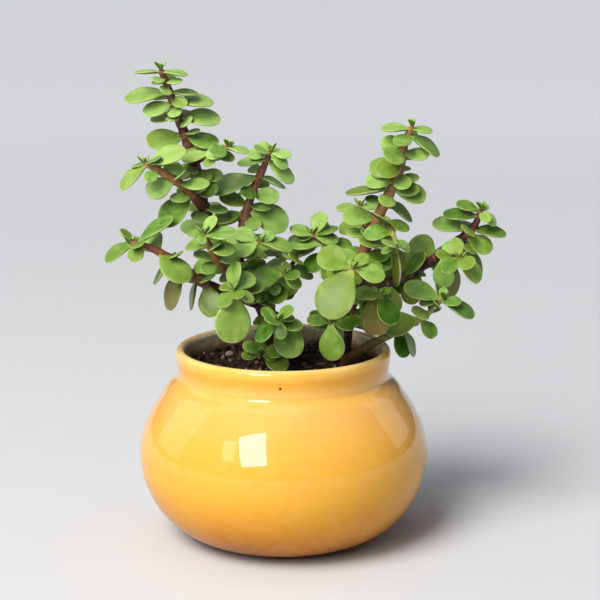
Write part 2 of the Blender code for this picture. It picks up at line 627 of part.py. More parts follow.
def stem_body(stem):
    """A tapering tube with closed ends along a stem's route: six-sided if thick, else four-sided."""
    count = max(3, round(stem_length(stem) / STEM_STEP))
    curve = bpy.data.curves.new(stem.name, "CURVE")
    curve.dimensions = "3D"
    curve.bevel_depth = MM
    curve.bevel_resolution = 1 if stem.route[0][3] > THICK_STEM else 0
    curve.use_fill_caps = True
    spline = curve.splines.new("POLY")
    spline.points.add(count)
    for index, point in enumerate(spline.points):
        x, y, z, radius = along_route(stem.route, index / count)
        point.co = (x * MM, y * MM, z * MM, 1.0)
        point.radius = radius
    guide = bpy.data.objects.new(stem.name, curve)
    bpy.context.collection.objects.link(guide)
    mesh = bpy.data.meshes.new_from_object(guide.evaluated_get(bpy.context.evaluated_depsgraph_get()))
    bpy.data.objects.remove(guide)
    bpy.data.curves.remove(curve)
    shape = bmesh.new()
    shape.from_mesh(mesh)
    bpy.data.meshes.remove(mesh)
    bmesh.ops.remove_doubles(shape, verts=shape.verts, dist=0.00001)
    bmesh.ops.recalc_face_normals(shape, faces=shape.faces)
    return add_object(stem.name, shape)


def make_plant(name, stems, leaves, colour):
    """One leafy stem, grown as one: its side shoots and leaves are fused to the main shoot."""
    bodies = [stem_body(stem) for stem in stems] + [leaf_body(leaf) for leaf in leaves]
    plant = bodies.pop(0)
    plant.name = name
    rest = bpy.data.collections.new(name + "_growth")
    bpy.context.scene.collection.children.link(rest)
    for body in bodies:
        bpy.context.collection.objects.unlink(body)
        rest.objects.link(body)
    fuse = plant.modifiers.new("fuse", "BOOLEAN")
    fuse.operation = "UNION"
    fuse.operand_type = "COLLECTION"
    fuse.collection = rest
    fuse.solver = "MANIFOLD"
    bake(plant)
    for body in list(rest.objects):
        drop(body)
    bpy.data.collections.remove(rest)
    clean(plant)
    finish(plant, colour, 0.42)
    return plant


def islands(shape):
    """The separate closed skins of a mesh, each as a list of faces."""
    found = []
    seen = set()
    for start in shape.faces:
        if start in seen:
            continue
        seen.add(start)
        skin = [start]
        for face in skin:
            for edge in face.edges:
                for other in edge.link_faces:
                    if other not in seen:
                        seen.add(other)
                        skin.append(other)
        found.append(skin)
    return found


def clean(piece):
    """Fills the sealed hollows that fusing leaves, and drops loose scraps and folded flaps."""
    shape = bmesh.new()
    shape.from_mesh(piece.data)
    bmesh.ops.triangulate(shape, faces=shape.faces)
    twins = {}
    for face in shape.faces:
        twins.setdefault(frozenset(face.verts), []).append(face)
    flaps = [face for faces in twins.values() if len(faces) > 1 for face in faces]
    bmesh.ops.delete(shape, geom=flaps, context="FACES")
    skins = sorted(islands(shape), key=len)
    for skin in skins[:-1]:
        bmesh.ops.delete(shape, geom=skin, context="FACES")
    shape.to_mesh(piece.data)
    shape.free()


def main():
    for piece in list(bpy.data.objects):
        bpy.data.objects.remove(piece)
    make_pot()
    make_soil([stems[0] for stems in PLANTS.values()])
    leaves = settle(PLANTS)
    for name, stems in PLANTS.items():
        make_plant(name, stems, leaves[name], LEAF_COLOURS[name])


main()
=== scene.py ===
# %% [markdown]
# # A potted jade plant
# A dwarf jade plant is a small tree that stores water: its wood is thin and red-brown, and its
# leaves are thick little spoons in pairs. This one stands in a round pot with a honey glaze.
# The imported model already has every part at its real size. This lesson loads it as a fixed frame
# and puts finer pieces in the same places, because a likeness comes from the leaf edges, the
# glaze and the grit of the soil, which a plain model leaves out.

# %% Load the frame
import math
import random
from collections import namedtuple

import bmesh
import bpy
import numpy as np
from mathutils import Matrix, Quaternion, Vector, noise


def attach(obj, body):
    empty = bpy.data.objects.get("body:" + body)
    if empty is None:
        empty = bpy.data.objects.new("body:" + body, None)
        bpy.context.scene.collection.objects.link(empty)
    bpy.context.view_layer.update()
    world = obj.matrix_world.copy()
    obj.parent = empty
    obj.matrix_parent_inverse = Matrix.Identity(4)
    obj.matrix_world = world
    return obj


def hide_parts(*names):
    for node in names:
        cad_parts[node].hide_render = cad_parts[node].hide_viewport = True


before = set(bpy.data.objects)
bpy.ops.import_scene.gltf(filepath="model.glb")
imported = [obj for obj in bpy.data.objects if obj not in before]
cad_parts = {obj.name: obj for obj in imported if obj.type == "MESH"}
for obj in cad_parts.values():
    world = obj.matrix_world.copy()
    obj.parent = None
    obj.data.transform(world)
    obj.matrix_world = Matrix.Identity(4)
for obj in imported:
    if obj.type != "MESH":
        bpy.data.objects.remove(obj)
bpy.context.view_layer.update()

MM = 0.001

# %% [markdown]
# ## The camera
# The photograph looks a little down on the plant from about 62 cm, with a long lens. A camera is
# set by where it stands, how far it tips down and how many pixels its focal length is worth:
# matching the rim's ellipse gives the tip, and the pot's width then gives the distance. The lens
# in millimetres follows from the sensor's width.

# %% Camera
IMAGE_WIDTH = 600
FOCAL_PIXELS = 1500
SENSOR_WIDTH = 36.0
CAMERA_PLACE = (7.0, -620.0, 227.6)
CAMERA_DOWN = 11.5

lens = bpy.data.cameras.new("camera")
lens.sensor_width = SENSOR_WIDTH
lens.lens = FOCAL_PIXELS / IMAGE_WIDTH * SENSOR_WIDTH
camera = bpy.data.objects.new("camera", lens)
camera.location = Vector(CAMERA_PLACE) * MM
camera.rotation_euler = (math.radians(90 - CAMERA_DOWN), 0, 0)
bpy.context.scene.collection.objects.link(camera)
bpy.context.scene.camera = camera
print(f"camera: a {lens.lens:.0f} mm lens, {CAMERA_DOWN} degrees down")

# %% [markdown]
# ## Light
# Soft daylight falls from the upper left. A sun lamp with a wide angle gives it, evenly over the
# whole floor, and stays out of the reflections. What the glaze mirrors is one tall window with a
# narrow pane beside it, and a wide dim room on the right: area lights make such soft-edged
# reflections. Each is placed by its direction from the pot's middle, so that its reflection moves
# over the glaze by changing one line. A dim pale world fills the shade, dim enough to leave the
# inside of the plant dark, since that is what gives a leafy thing its depth. Where the camera
# looks at the world itself, past the end of the floor, it is as pale as the floor.

# %% Lights
SUBJECT = Vector((0, 0, 90)) * MM
SHADE_STRENGTH = 0.12
SEEN_STRENGTH = 0.80


def area_light(name, direction, distance, width, height, power, colour, roll=0.0):
    """A rectangular light that looks at the plant from a direction, rolled about it in degrees."""
    light = bpy.data.lights.new(name, "AREA")
    light.shape = "RECTANGLE"
    light.size = width
    light.size_y = height
    light.energy = power
    light.color = colour
    holder = bpy.data.objects.new(name, light)
    towards = Vector(direction).normalized()
    holder.location = SUBJECT + towards * distance
    facing = towards.to_track_quat("Z", "Y") @ Quaternion((0, 0, 1), math.radians(roll))
    holder.rotation_euler = facing.to_euler()
    bpy.context.scene.collection.objects.link(holder)


WARM_WHITE = (1.0, 0.97, 0.92)
COOL_WHITE = (0.90, 0.95, 1.0)
area_light("window", (-0.36, -0.73, 0.475), 1.0, 0.35, 0.49, 4.8, WARM_WHITE, roll=16)
area_light("side_pane", (-0.64, -0.60, 0.44), 1.0, 0.17, 0.33, 0.34, WARM_WHITE, roll=16)
area_light("wall", (-1.00, 0.25, 0.42), 1.4, 0.8, 1.0, 1.5, WARM_WHITE)
area_light("room", (0.85, 0.38, 0.42), 1.3, 0.6, 0.9, 1.0, COOL_WHITE)
area_light("ceiling", (-0.20, 0.10, 1.0), 1.2, 1.3, 1.3, 3.0, COOL_WHITE)

daylight = bpy.data.lights.new("daylight", "SUN")
daylight.energy = 2.9
daylight.angle = math.radians(30)
daylight.color = WARM_WHITE
sun = bpy.data.objects.new("daylight", daylight)
sun.rotation_euler = Vector((-0.40, -0.50, 0.77)).to_track_quat("Z", "Y").to_euler()
sun.visible_glossy = False
bpy.context.scene.collection.objects.link(sun)

world = bpy.data.worlds.new("pale_room")
world.use_nodes = True
sky = world.node_tree.nodes["Background"]
sky.inputs["Color"].default_value = (0.86, 0.91, 1.0, 1.0)
sight = world.node_tree.nodes.new("ShaderNodeLightPath")
strength = world.node_tree.nodes.new("ShaderNodeMapRange")
strength.inputs["To Min"].default_value = SHADE_STRENGTH
strength.inputs["To Max"].default_value = SEEN_STRENGTH
world.node_tree.links.new(sight.outputs["Is Camera Ray"], strength.inputs["Value"])
world.node_tree.links.new(strength.outputs["Result"], sky.inputs["Strength"])
bpy.context.scene.world = world
bpy.context.scene.view_settings.view_transform = "Standard"

# %% [markdown]
# ## Small helpers for materials
# A procedural material is a graph of nodes. Two short helpers keep the graphs readable: one adds
# a node and fills its sockets, linking whatever is itself a socket, and one starts a material
# with its Principled shader. Every pattern reads Object coordinates in metres, so a scale of
# 1000 means one feature a millimetre.

# %% Node helpers
def add_node(tree, kind, sockets=None, **settings):
    """Adds a node: sockets is {name or number: value or socket}, settings are its own properties."""
    made = tree.nodes.new(kind)
    for name, value in settings.items():
        setattr(made, name, value)
    for name, value in (sockets or {}).items():
        if isinstance(value, bpy.types.NodeSocket):
            tree.links.new(value, made.inputs[name])
        else:
            made.inputs[name].default_value = value
    return made


def new_material(name, **shader_values):
    """A material, its node tree and its Principled shader, with constants set by socket name."""
    material = bpy.data.materials.new(name)
    material.use_nodes = True
    shader = material.node_tree.nodes["Principled BSDF"]
    for socket, value in shader_values.items():
        shader.inputs[socket.replace("_", " ")].default_value = value
    return material, material.node_tree, shader


def blend(tree, share, first, second, mode="MIX"):
    """The colour between two colours at a share, or another blend mode of them."""
    mixer = add_node(tree, "ShaderNodeMix", data_type="RGBA", blend_type=mode)
    for number, value in ((0, share), (6, first), (7, second)):
        if isinstance(value, bpy.types.NodeSocket):
            tree.links.new(value, mixer.inputs[number])
        else:
            mixer.inputs[number].default_value = value
    return mixer.outputs[2]


def spread(tree, value, low, high, to_low=0.0, to_high=1.0, smooth=True):
    """Stretches a value from one range to another, clamped, with soft ends where smooth."""
    kind = "SMOOTHSTEP" if smooth else "LINEAR"
    return add_node(tree, "ShaderNodeMapRange", {
        "Value": value, "From Min": low, "From Max": high, "To Min": to_low, "To Max": to_high,
    }, interpolation_type=kind).outputs[0]


def maths(tree, operation, first, second=0.0):
    return add_node(tree, "ShaderNodeMath", {0: first, 1: second}, operation=operation).outputs[0]


def rgb(red, green, blue):
    return red, green, blue, 1.0


print("helpers ready: add_node, new_material, blend, spread, maths")

# %% [markdown]
# ## Two shared effects
# Natural surfaces are never one colour. Clouding is a slow drift of tone, which the glaze, the
# leaves, the bark and the soil all have at their own scales. Grain is a fine unevenness that
# catches light. Both are node groups, built once and given their own values in each material.
# A group puts out only masks and heights, and the shader stays in the material. Bare clay, soil,
# stone and a dry leaf are all matt and mottled, so one function makes a material for each.

# %% Node groups
def new_group(name, inputs, outputs):
    """An empty shader group with float inputs {name: default}, a vector input and float outputs."""
    group = bpy.data.node_groups.new(name, "ShaderNodeTree")
    group.interface.new_socket("Vector", in_out="INPUT", socket_type="NodeSocketVector")
    for label, default in inputs.items():
        socket = group.interface.new_socket(label, in_out="INPUT", socket_type="NodeSocketFloat")
        socket.default_value = default
    for label in outputs:
        group.interface.new_socket(label, in_out="OUTPUT", socket_type="NodeSocketFloat")
    return group, group.nodes.new("NodeGroupInput"), group.nodes.new("NodeGroupOutput")


clouding, given, result = new_group("clouding", {"Scale": 100.0, "Contrast": 0.3}, ["Mask"])
drift = add_node(clouding, "ShaderNodeTexNoise", {
    "Vector": given.outputs["Vector"], "Scale": given.outputs["Scale"], "Detail": 4.0, "Roughness": 0.55,
})
low = maths(clouding, "SUBTRACT", 0.5, given.outputs["Contrast"])
high = maths(clouding, "ADD", 0.5, given.outputs["Contrast"])
clouding.links.new(spread(clouding, drift.outputs["Fac"], low, high), result.inputs["Mask"])

grain, given, result = new_group("grain", {"Scale": 1000.0, "Size": 0.5}, ["Height", "Specks"])
coarse = add_node(grain, "ShaderNodeTexVoronoi", {
    "Vector": given.outputs["Vector"], "Scale": given.outputs["Scale"],
})
fine = add_node(grain, "ShaderNodeTexNoise", {
    "Vector": given.outputs["Vector"], "Scale": maths(grain, "MULTIPLY", given.outputs["Scale"], 2.3),
    "Detail": 3.0,
})
lump = maths(grain, "SUBTRACT", 1.0, coarse.outputs["Distance"])
grain.links.new(maths(grain, "ADD", lump, fine.outputs["Fac"]), result.inputs["Height"])
reach = maths(grain, "MULTIPLY", given.outputs["Size"], 0.5)
grain.links.new(maths(grain, "LESS_THAN", coarse.outputs["Distance"], reach), result.inputs["Specks"])


def use_group(tree, group, vector, **values):
    """Places a group in a material and returns its outputs by name."""
    placed = add_node(tree, "ShaderNodeGroup", node_tree=group)
    tree.links.new(vector, placed.inputs["Vector"])
    for label, value in values.items():
        placed.inputs[label].default_value = value
    return placed.outputs


def object_coordinates(tree):
    return add_node(tree, "ShaderNodeTexCoord").outputs["Object"]


def bump(tree, shader, height, strength, distance):
    """Feeds a height to a shader's Normal; the distance is in metres."""
    raised = add_node(tree, "ShaderNodeBump", {"Strength": strength, "Distance": distance, "Height": height})
    tree.links.new(raised.outputs["Normal"], shader.inputs["Normal"])


def mottled_material(name, patches, colours, grains, specks, rough, relief):
    """A matt material of patches between two colours, with specks of a third and a grainy relief."""
    material, tree, shader = new_material(name)
    place = object_coordinates(tree)
    patch = use_group(tree, clouding, place, Scale=patches[0], Contrast=patches[1])["Mask"]
    grit = use_group(tree, grain, place, Scale=grains[0], Size=grains[1])
    colour = blend(tree, patch, *colours)
    colour = blend(tree, maths(tree, "MULTIPLY", grit["Specks"], specks[0]), colour, specks[1])
    tree.links.new(colour, shader.inputs["Base Color"])
    tree.links.new(spread(tree, patch, 0.0, 1.0, *rough), shader.inputs["Roughness"])
    bump(tree, shader, grit["Height"], *relief)
    return material


print("groups:", [group.name for group in bpy.data.node_groups])

# %% [markdown]
# ## The floor
# A plain pale floor carries the pot's soft shadow and nothing else. It is only a stage and stays out
# of the model. Studios light a backdrop more than the table: here the floor itself turns a little
# paler with distance. The dark line under the pot comes by itself where the base meets it.

# %% Floor
FLOOR_SIZE = 260.0


def add_object(name, shape):
    """Turns a bmesh into an object at the origin and frees the bmesh."""
    mesh = bpy.data.meshes.new(name)
    shape.to_mesh(mesh)
    shape.free()
    piece = bpy.data.objects.new(name, mesh)
    bpy.context.scene.collection.objects.link(piece)
    return piece


sheet = bmesh.new()
bmesh.ops.create_grid(sheet, x_segments=1, y_segments=1, size=FLOOR_SIZE / 2)
bmesh.ops.translate(sheet, verts=sheet.verts, vec=(0, 0, -0.0002))
floor = add_object("floor", sheet)
paper, tree, shader = new_material("pale_paper", Roughness=0.7)
place = object_coordinates(tree)
reach = add_node(tree, "ShaderNodeVectorMath", {0: place}, operation="LENGTH").outputs["Value"]
colour = blend(tree, spread(tree, reach, 0.3, 2.5), rgb(0.66, 0.68, 0.71), rgb(0.88, 0.92, 0.98))
tree.links.new(colour, shader.inputs["Base Color"])
floor.data.materials.append(paper)
print(f"floor: {FLOOR_SIZE:.0f} m across")

# %% [markdown]
# ## The pot's shape
# The real pot was thrown on a wheel, so its model is turned the same way: one profile, from the
# middle of the base up over the belly, the collar and the lip and down the inside, is spun round
# the upright axis. The profile repeats the part's named sizes and Bezier curves with smaller
# steps. After the spin, a slow wobble of a tenth of a millimetre keeps the reflections from
# looking machined.

# %% Profile of the pot
BASE_RADIUS = 29.5
BELLY_RADIUS = 61.5
BELLY_HEIGHT = 37.5
SHOULDER_RADIUS = 49.8
SHOULDER_HEIGHT = 64.4
COLLAR_RADIUS = 44.6
COLLAR_HEIGHT = 70.8
LIP_RADIUS = 45.6
LIP_MIDDLE_HEIGHT = 79.2
POT_HEIGHT = 81.6
WALL = 4.0
FLOOR = 5.0


def cubic(start, leave, arrive, end, steps):
    """Points of a cubic Bezier curve, its first point left out."""
    points = []
    for step in range(1, steps + 1):
        t = step / steps
        weights = ((1 - t) ** 3, 3 * t * (1 - t) ** 2, 3 * t * t * (1 - t), t ** 3)
        points.append(tuple(
            sum(w * p[axis] for w, p in zip(weights, (start, leave, arrive, end))) for axis in range(2)
        ))
    return points


def quarter(start, corner, end, steps):
    """A quarter of an ellipse between two points, round the corner of its box."""
    round_share = 0.5523
    leave = [s + round_share * (c - s) for s, c in zip(start, corner)]
    arrive = [e + round_share * (c - e) for e, c in zip(end, corner)]
    return cubic(start, leave, arrive, end, steps)


def outer_profile():
    """From the middle of the base up to the crest of the lip, as (radius, height)."""
    points = [(0.0, 0.0), (BASE_RADIUS - 6.0, 0.0), (BASE_RADIUS - 0.8, 0.0), (BASE_RADIUS, 0.15)]
    points += quarter(points[-1], (BELLY_RADIUS, 0.15), (BELLY_RADIUS, BELLY_HEIGHT), 22)
    shoulder = (SHOULDER_RADIUS, SHOULDER_HEIGHT)
    points += cubic(points[-1], (BELLY_RADIUS, 48.2), (54.8, 56.8), shoulder, 14)
    collar = (COLLAR_RADIUS, COLLAR_HEIGHT)
    points += cubic(shoulder, (47.6, 67.6), (COLLAR_RADIUS, 67.7), collar, 9)
    points += cubic(collar, (COLLAR_RADIUS, 74.6), (LIP_RADIUS, 76.2), (LIP_RADIUS, LIP_MIDDLE_HEIGHT), 7)
    points += quarter(points[-1], (LIP_RADIUS, POT_HEIGHT), (LIP_RADIUS - WALL / 2, POT_HEIGHT), 6)
    return points


def inner_profile(gap=0.0):
    """From the lip down to the middle of the pot's floor, moved inwards by a gap."""
    lip = (LIP_RADIUS - WALL - gap, LIP_MIDDLE_HEIGHT)
    throat = (COLLAR_RADIUS - WALL + 0.5 - gap, COLLAR_HEIGHT - 1.0)
    shoulder = (SHOULDER_RADIUS - 3.4 - gap, SHOULDER_HEIGHT - 2.1 - gap)
    belly = (BELLY_RADIUS - WALL - gap, BELLY_HEIGHT)
    floor_edge = (BASE_RADIUS - 1.0 - gap, FLOOR + gap)
    points = quarter((LIP_RADIUS - WALL / 2, POT_HEIGHT), (lip[0], POT_HEIGHT), lip, 6) if gap == 0 else [lip]
    points += cubic(lip, (lip[0], 75.6), (throat[0], 72.3), throat, 5)
    points += cubic(throat, (throat[0], 66.9), (shoulder[0] - 2.0, shoulder[1] + 2.8), shoulder, 3)
    points += cubic(shoulder, (shoulder[0] + 4.7, shoulder[1] - 7.5), (belly[0], 47.5), belly, 4)
    points += quarter(belly, (belly[0], floor_edge[1]), floor_edge, 5)
    points.append((0.0, floor_edge[1]))
    return points


print(f"profile: {len(outer_profile())} points outside, {len(inner_profile())} inside")

# %% Turn the pot
POT_SIDES = 128
WOBBLE = 0.12
WOBBLE_SCALE = 28
DRAIN_HOLES = 3
DRAIN_RADIUS = 2.5
DRAIN_CIRCLE_RADIUS = 14.0


def turned(profile, sides):
    """A bmesh turned round +Z from a profile whose ends lie on the axis."""
    shape = bmesh.new()
    verts = [shape.verts.new((radius * MM, 0.0, height * MM)) for radius, height in profile]
    edges = [shape.edges.new(pair) for pair in zip(verts, verts[1:])]
    bmesh.ops.spin(shape, geom=verts + edges, cent=(0, 0, 0), axis=(0, 0, 1), angle=2 * math.pi,
                   steps=sides, use_merge=True)
    bmesh.ops.remove_doubles(shape, verts=shape.verts, dist=0.00001)
    bmesh.ops.recalc_face_normals(shape, faces=shape.faces)
    return shape


def cut_round_hole(piece, x, y, low, high, radius, sides=32):
    """Cuts an upright round hole through a piece and applies the cut."""
    bar = bmesh.new()
    bmesh.ops.create_cone(bar, cap_ends=True, segments=sides, radius1=radius * MM, radius2=radius * MM,
                          depth=(high - low) * MM)
    bmesh.ops.translate(bar, verts=bar.verts, vec=Vector((x, y, (low + high) / 2)) * MM)
    cutter = add_object("cutter", bar)
    modifier = piece.modifiers.new("cut", "BOOLEAN")
    modifier.operation = "DIFFERENCE"
    modifier.object = cutter
    cut = bpy.data.meshes.new_from_object(piece.evaluated_get(bpy.context.evaluated_depsgraph_get()))
    piece.modifiers.clear()
    piece.data = cut
    bpy.data.objects.remove(cutter)


clay = turned(outer_profile() + inner_profile(), POT_SIDES)
for vertex in clay.verts:
    if vertex.co.z > 2 * MM:
        out = Vector((vertex.co.x, vertex.co.y, 0))
        vertex.co += out.normalized() * noise.noise(vertex.co * WOBBLE_SCALE) * WOBBLE * MM
pot = add_object("glazed_pot", clay)
for number in range(DRAIN_HOLES):
    turn = math.pi / 2 + number * 2 * math.pi / DRAIN_HOLES
    cut_round_hole(pot, DRAIN_CIRCLE_RADIUS * math.cos(turn), DRAIN_CIRCLE_RADIUS * math.sin(turn),
                   -FLOOR, 2 * FLOOR, DRAIN_RADIUS)
print(f"pot: {len(pot.data.polygons)} faces, {DRAIN_HOLES} drain holes")

# %% [markdown]
# ## The honey glaze
# A glaze is coloured glass over clay. Height drives a colour ramp that holds the glaze's own honey
# tone together with painted light: a pale painted highlight along the lip's crest, a band of darker
# orange painted shade on the collar's upright face, a paler and cooler painted sheen on the
# shoulder and upper belly, and painted shade that turns the glaze amber and darker towards the foot.
# Clouding drifts the tone, and one tiny brown pinhole marks the collar. A clear coat over the colour
# gives the wet shine: thick on the belly and the lip, thin where the glaze ran off the collar and at
# the foot. Inside, soil has stained the wall up from its edge, and the unglazed foot shows buff clay.

# %% Glaze
# Each stop mixes the glaze's tone with painted light: the low stops darken to amber as painted shade, 0.62 to
# 0.87 carry a paler, cooler painted sheen, 0.93 is painted shade on the collar's upright face and 1.00 a
# painted highlight on the lip's crest.
GLAZE_AND_PAINTED_LIGHT_STOPS = (
    (0.00, rgb(0.26, 0.060, 0.003)),
    (0.10, rgb(0.46, 0.140, 0.004)),
    (0.22, rgb(0.68, 0.270, 0.010)),
    (0.40, rgb(0.84, 0.410, 0.028)),
    (0.62, rgb(0.89, 0.440, 0.056)),
    (0.78, rgb(0.90, 0.470, 0.110)),
    (0.87, rgb(0.90, 0.480, 0.090)),
    (0.93, rgb(0.86, 0.390, 0.024)),
    (0.975, rgb(0.89, 0.490, 0.070)),
    (1.00, rgb(0.92, 0.660, 0.240)),
)
GLOSS_STOPS = (
    (0.00, 0.10), (0.44, 0.28), (0.58, 0.90), (0.85, 0.90), (0.90, 0.35), (0.945, 0.35), (0.975, 0.90),
)
PINHOLE = (-0.8, -45.0, 74.6)


def colour_ramp(tree, share, stops):
    """A colour ramp with its stops given as (position, colour)."""
    ramp = add_node(tree, "ShaderNodeValToRGB", {0: share})
    elements = ramp.color_ramp.elements
    while len(elements) < len(stops):
        elements.new(0.5)
    for element, (position, colour) in zip(elements, stops):
        element.position = position
        element.color = colour
    return ramp.outputs["Color"]


glaze, tree, shader = new_material("honey_glaze", Coat_Roughness=0.03, Coat_IOR=1.7, Specular_IOR_Level=0.1)
place = object_coordinates(tree)
height = add_node(tree, "ShaderNodeSeparateXYZ", {0: place}).outputs["Z"]
drift = use_group(tree, clouding, place, Scale=38.0, Contrast=0.28)["Mask"]
fine_drift = use_group(tree, clouding, place, Scale=260.0, Contrast=0.3)["Mask"]
level = maths(tree, "ADD", spread(tree, height, 0.0, POT_HEIGHT * MM, smooth=False),
              maths(tree, "MULTIPLY", maths(tree, "SUBTRACT", drift, 0.5), 0.035))
# Painted shade, sheen and highlight by height, over the glaze's own tone.
colour = colour_ramp(tree, level, GLAZE_AND_PAINTED_LIGHT_STOPS)
colour = blend(tree, spread(tree, drift, 0.0, 1.0, 0.0, 0.16), colour, rgb(0.70, 0.33, 0.035))
colour = blend(tree, spread(tree, fine_drift, 0.0, 1.0, 0.0, 0.07), colour, rgb(0.96, 0.72, 0.30))
away = add_node(tree, "ShaderNodeVectorMath", {0: place, 1: Vector(PINHOLE) * MM}, operation="DISTANCE")
pin = spread(tree, away.outputs["Value"], 0.0004, 0.0008, 1.0, 0.0)
colour = blend(tree, pin, colour, rgb(0.16, 0.07, 0.02))
tree.links.new(colour, shader.inputs["Base Color"])
tree.links.new(spread(tree, drift, 0.0, 1.0, 0.16, 0.26), shader.inputs["Roughness"])
gloss = colour_ramp(tree, level, [(position, rgb(coat, coat, coat)) for position, coat in GLOSS_STOPS])
gloss = maths(tree, "MULTIPLY", gloss, maths(tree, "SUBTRACT", 1.0, pin))
tree.links.new(gloss, shader.inputs["Coat Weight"])
ripple = add_node(tree, "ShaderNodeTexNoise", {"Vector": place, "Scale": 90.0, "Detail": 2.0})
bump(tree, shader, ripple.outputs["Fac"], 0.25, 0.0004)

stained, tree, shader = new_material("stained_inside", Coat_Roughness=0.15, IOR=1.5)
place = object_coordinates(tree)
height = add_node(tree, "ShaderNodeSeparateXYZ", {0: place}).outputs["Z"]
drift = use_group(tree, clouding, place, Scale=120.0, Contrast=0.25)["Mask"]
marks = use_group(tree, grain, place, Scale=700.0, Size=0.7)
creep = maths(tree, "ADD", height, maths(tree, "MULTIPLY", drift, -0.0034))
stain = spread(tree, creep, 0.0695, 0.0750, 1.0, 0.0)
rust = spread(tree, creep, 0.0720, 0.0765, 0.8, 0.0)
colour = blend(tree, drift, rgb(0.78, 0.60, 0.34), rgb(0.87, 0.77, 0.57))
colour = blend(tree, rust, colour, rgb(0.34, 0.12, 0.030))
colour = blend(tree, stain, colour, rgb(0.060, 0.030, 0.016))
colour = blend(tree, maths(tree, "MULTIPLY", marks["Specks"], 0.35), colour, rgb(0.10, 0.055, 0.030))
tree.links.new(colour, shader.inputs["Base Color"])
tree.links.new(spread(tree, stain, 0.0, 1.0, 0.30, 0.85), shader.inputs["Roughness"])
tree.links.new(spread(tree, stain, 0.0, 1.0, 0.4, 0.0), shader.inputs["Coat Weight"])
bump(tree, shader, marks["Height"], 0.15, 0.0003)

biscuit = mottled_material(
    "bare_foot", patches=(90.0, 0.3), colours=(rgb(0.50, 0.33, 0.20), rgb(0.62, 0.45, 0.29)),
    grains=(900.0, 0.5), specks=(0.4, rgb(0.30, 0.18, 0.10)), rough=(0.80, 0.95), relief=(0.3, 0.0002),
)
print("glaze:", len(GLAZE_AND_PAINTED_LIGHT_STOPS), "stops from foot to lip")

# %% Dress the pot
pot.data.materials.clear()
for material in (glaze, stained, biscuit):
    pot.data.materials.append(material)
GLAZED, INSIDE, BARE = range(3)
LIP_MARGIN = 0.6
SHARP_ANGLE = 38
for face in pot.data.polygons:
    out = Vector((face.center.x, face.center.y, 0))
    on_floor = face.center.z < (FLOOR + 1) * MM and out.length < (BASE_RADIUS - 1) * MM
    on_wall = face.normal.dot(out) < 0 and out.length < (LIP_RADIUS - WALL + LIP_MARGIN) * MM
    if face.center.z < 0.1 * MM:
        face.material_index = BARE
    elif on_floor or on_wall:
        face.material_index = INSIDE
pot.data.shade_smooth()
pot.data.set_sharp_from_angle(angle=math.radians(SHARP_ANGLE))
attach(pot, "root")
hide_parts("pot")
finishes = [face.material_index for face in pot.data.polygons]
print("pot faces: glazed, inside, bare:", [finishes.count(index) for index in (GLAZED, INSIDE, BARE)])

# %% [markdown]
# ## The potting mix
# Seen from above the soil is a low lumpy mound of dark grains. A fine disc with the packed
# soil's own relief gives the mound, and a noise adds crumbs too small to model one by one. It
# is one closed body: the same turned profile as the pot's inside, a hair smaller, under the mound.

# %% Soil
FIT_GAP = 0.3
SOIL_HEIGHT = 73.2
SOIL_MOUND = 1.8
SOIL_SIDES = 120
SOIL_RINGS = 56
SOIL_ROUGH = 0.9


def soil_relief(x, y):
    """Height of the soil's top over its edge: a low mound with a few soft lumps."""
    edge = inner_profile(FIT_GAP)[0][0]
    inside = 1 - min(1.0, math.hypot(x, y) / edge) ** 2
    lumps = math.sin(0.31 * x + 0.9) * math.cos(0.27 * y - 0.4) + 0.5 * math.sin(0.55 * y + 0.2 * x)
    return SOIL_MOUND * inside * (0.8 + 0.45 * lumps)


def soil_top(x, y):
    """The soil's height with its crumbly surface, in millimetres."""
    fade = min(1.0, (inner_profile(FIT_GAP)[0][0] - math.hypot(x, y)) / 3.0)
    crumbs = noise.fractal(Vector((x, y, 3.0)) * 0.42, 0.8, 2.1, 4)
    return SOIL_HEIGHT + soil_relief(x, y) + SOIL_ROUGH * max(0.0, fade) * crumbs


wall = [point for point in inner_profile(FIT_GAP) if point[1] < SOIL_HEIGHT]
soil_edge = inner_profile(FIT_GAP)[0][0] - 0.4
top = [(soil_edge * ring / SOIL_RINGS, SOIL_HEIGHT) for ring in range(SOIL_RINGS + 1)]
mound = turned(top + wall, SOIL_SIDES)
for vertex in mound.verts:
    if vertex.co.z > (SOIL_HEIGHT - 0.1) * MM:
        vertex.co.z = soil_top(vertex.co.x / MM, vertex.co.y / MM) * MM
soil = add_object("potting_mix", mound)
soil.data.shade_smooth()
heights = [vertex.co.z / MM for vertex in soil.data.vertices]
print(f"soil: {len(soil.data.polygons)} faces, highest at {max(heights):.1f} mm")

# %% Earth
soil.data.materials.append(mottled_material(
    "dark_earth", patches=(170.0, 0.25), colours=(rgb(0.010, 0.0065, 0.0045), rgb(0.034, 0.019, 0.011)),
    grains=(1100.0, 0.45), specks=(0.5, rgb(0.075, 0.044, 0.026)), rough=(0.75, 0.97), relief=(0.8, 0.0006),
))
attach(soil, "root")
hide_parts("soil")
print("earth: grains of about a millimetre")

# %% [markdown]
# ## Crumbs on the soil
# What makes soil read as soil is loose matter: crumbs, grit and slivers of bark. Hundreds of
# copies have to be cheap, so each crumb is a squashed icosphere of 20 faces with its corners
# pushed about, and each sliver a five-sided bar. A seeded draw puts them on the mound, and each
# carries its own tone as an attribute for the material to read.

# %% Crumbs and slivers
CRUMBS = 1100
SLIVERS = 90
CRUMB_SIZES = (0.35, 1.5)
STEM_FEET = ((-3.0, 2.0, 3.6), (26.0, 8.0, 3.0), (25.5, -10.0, 2.2))
draw = random.Random(11)


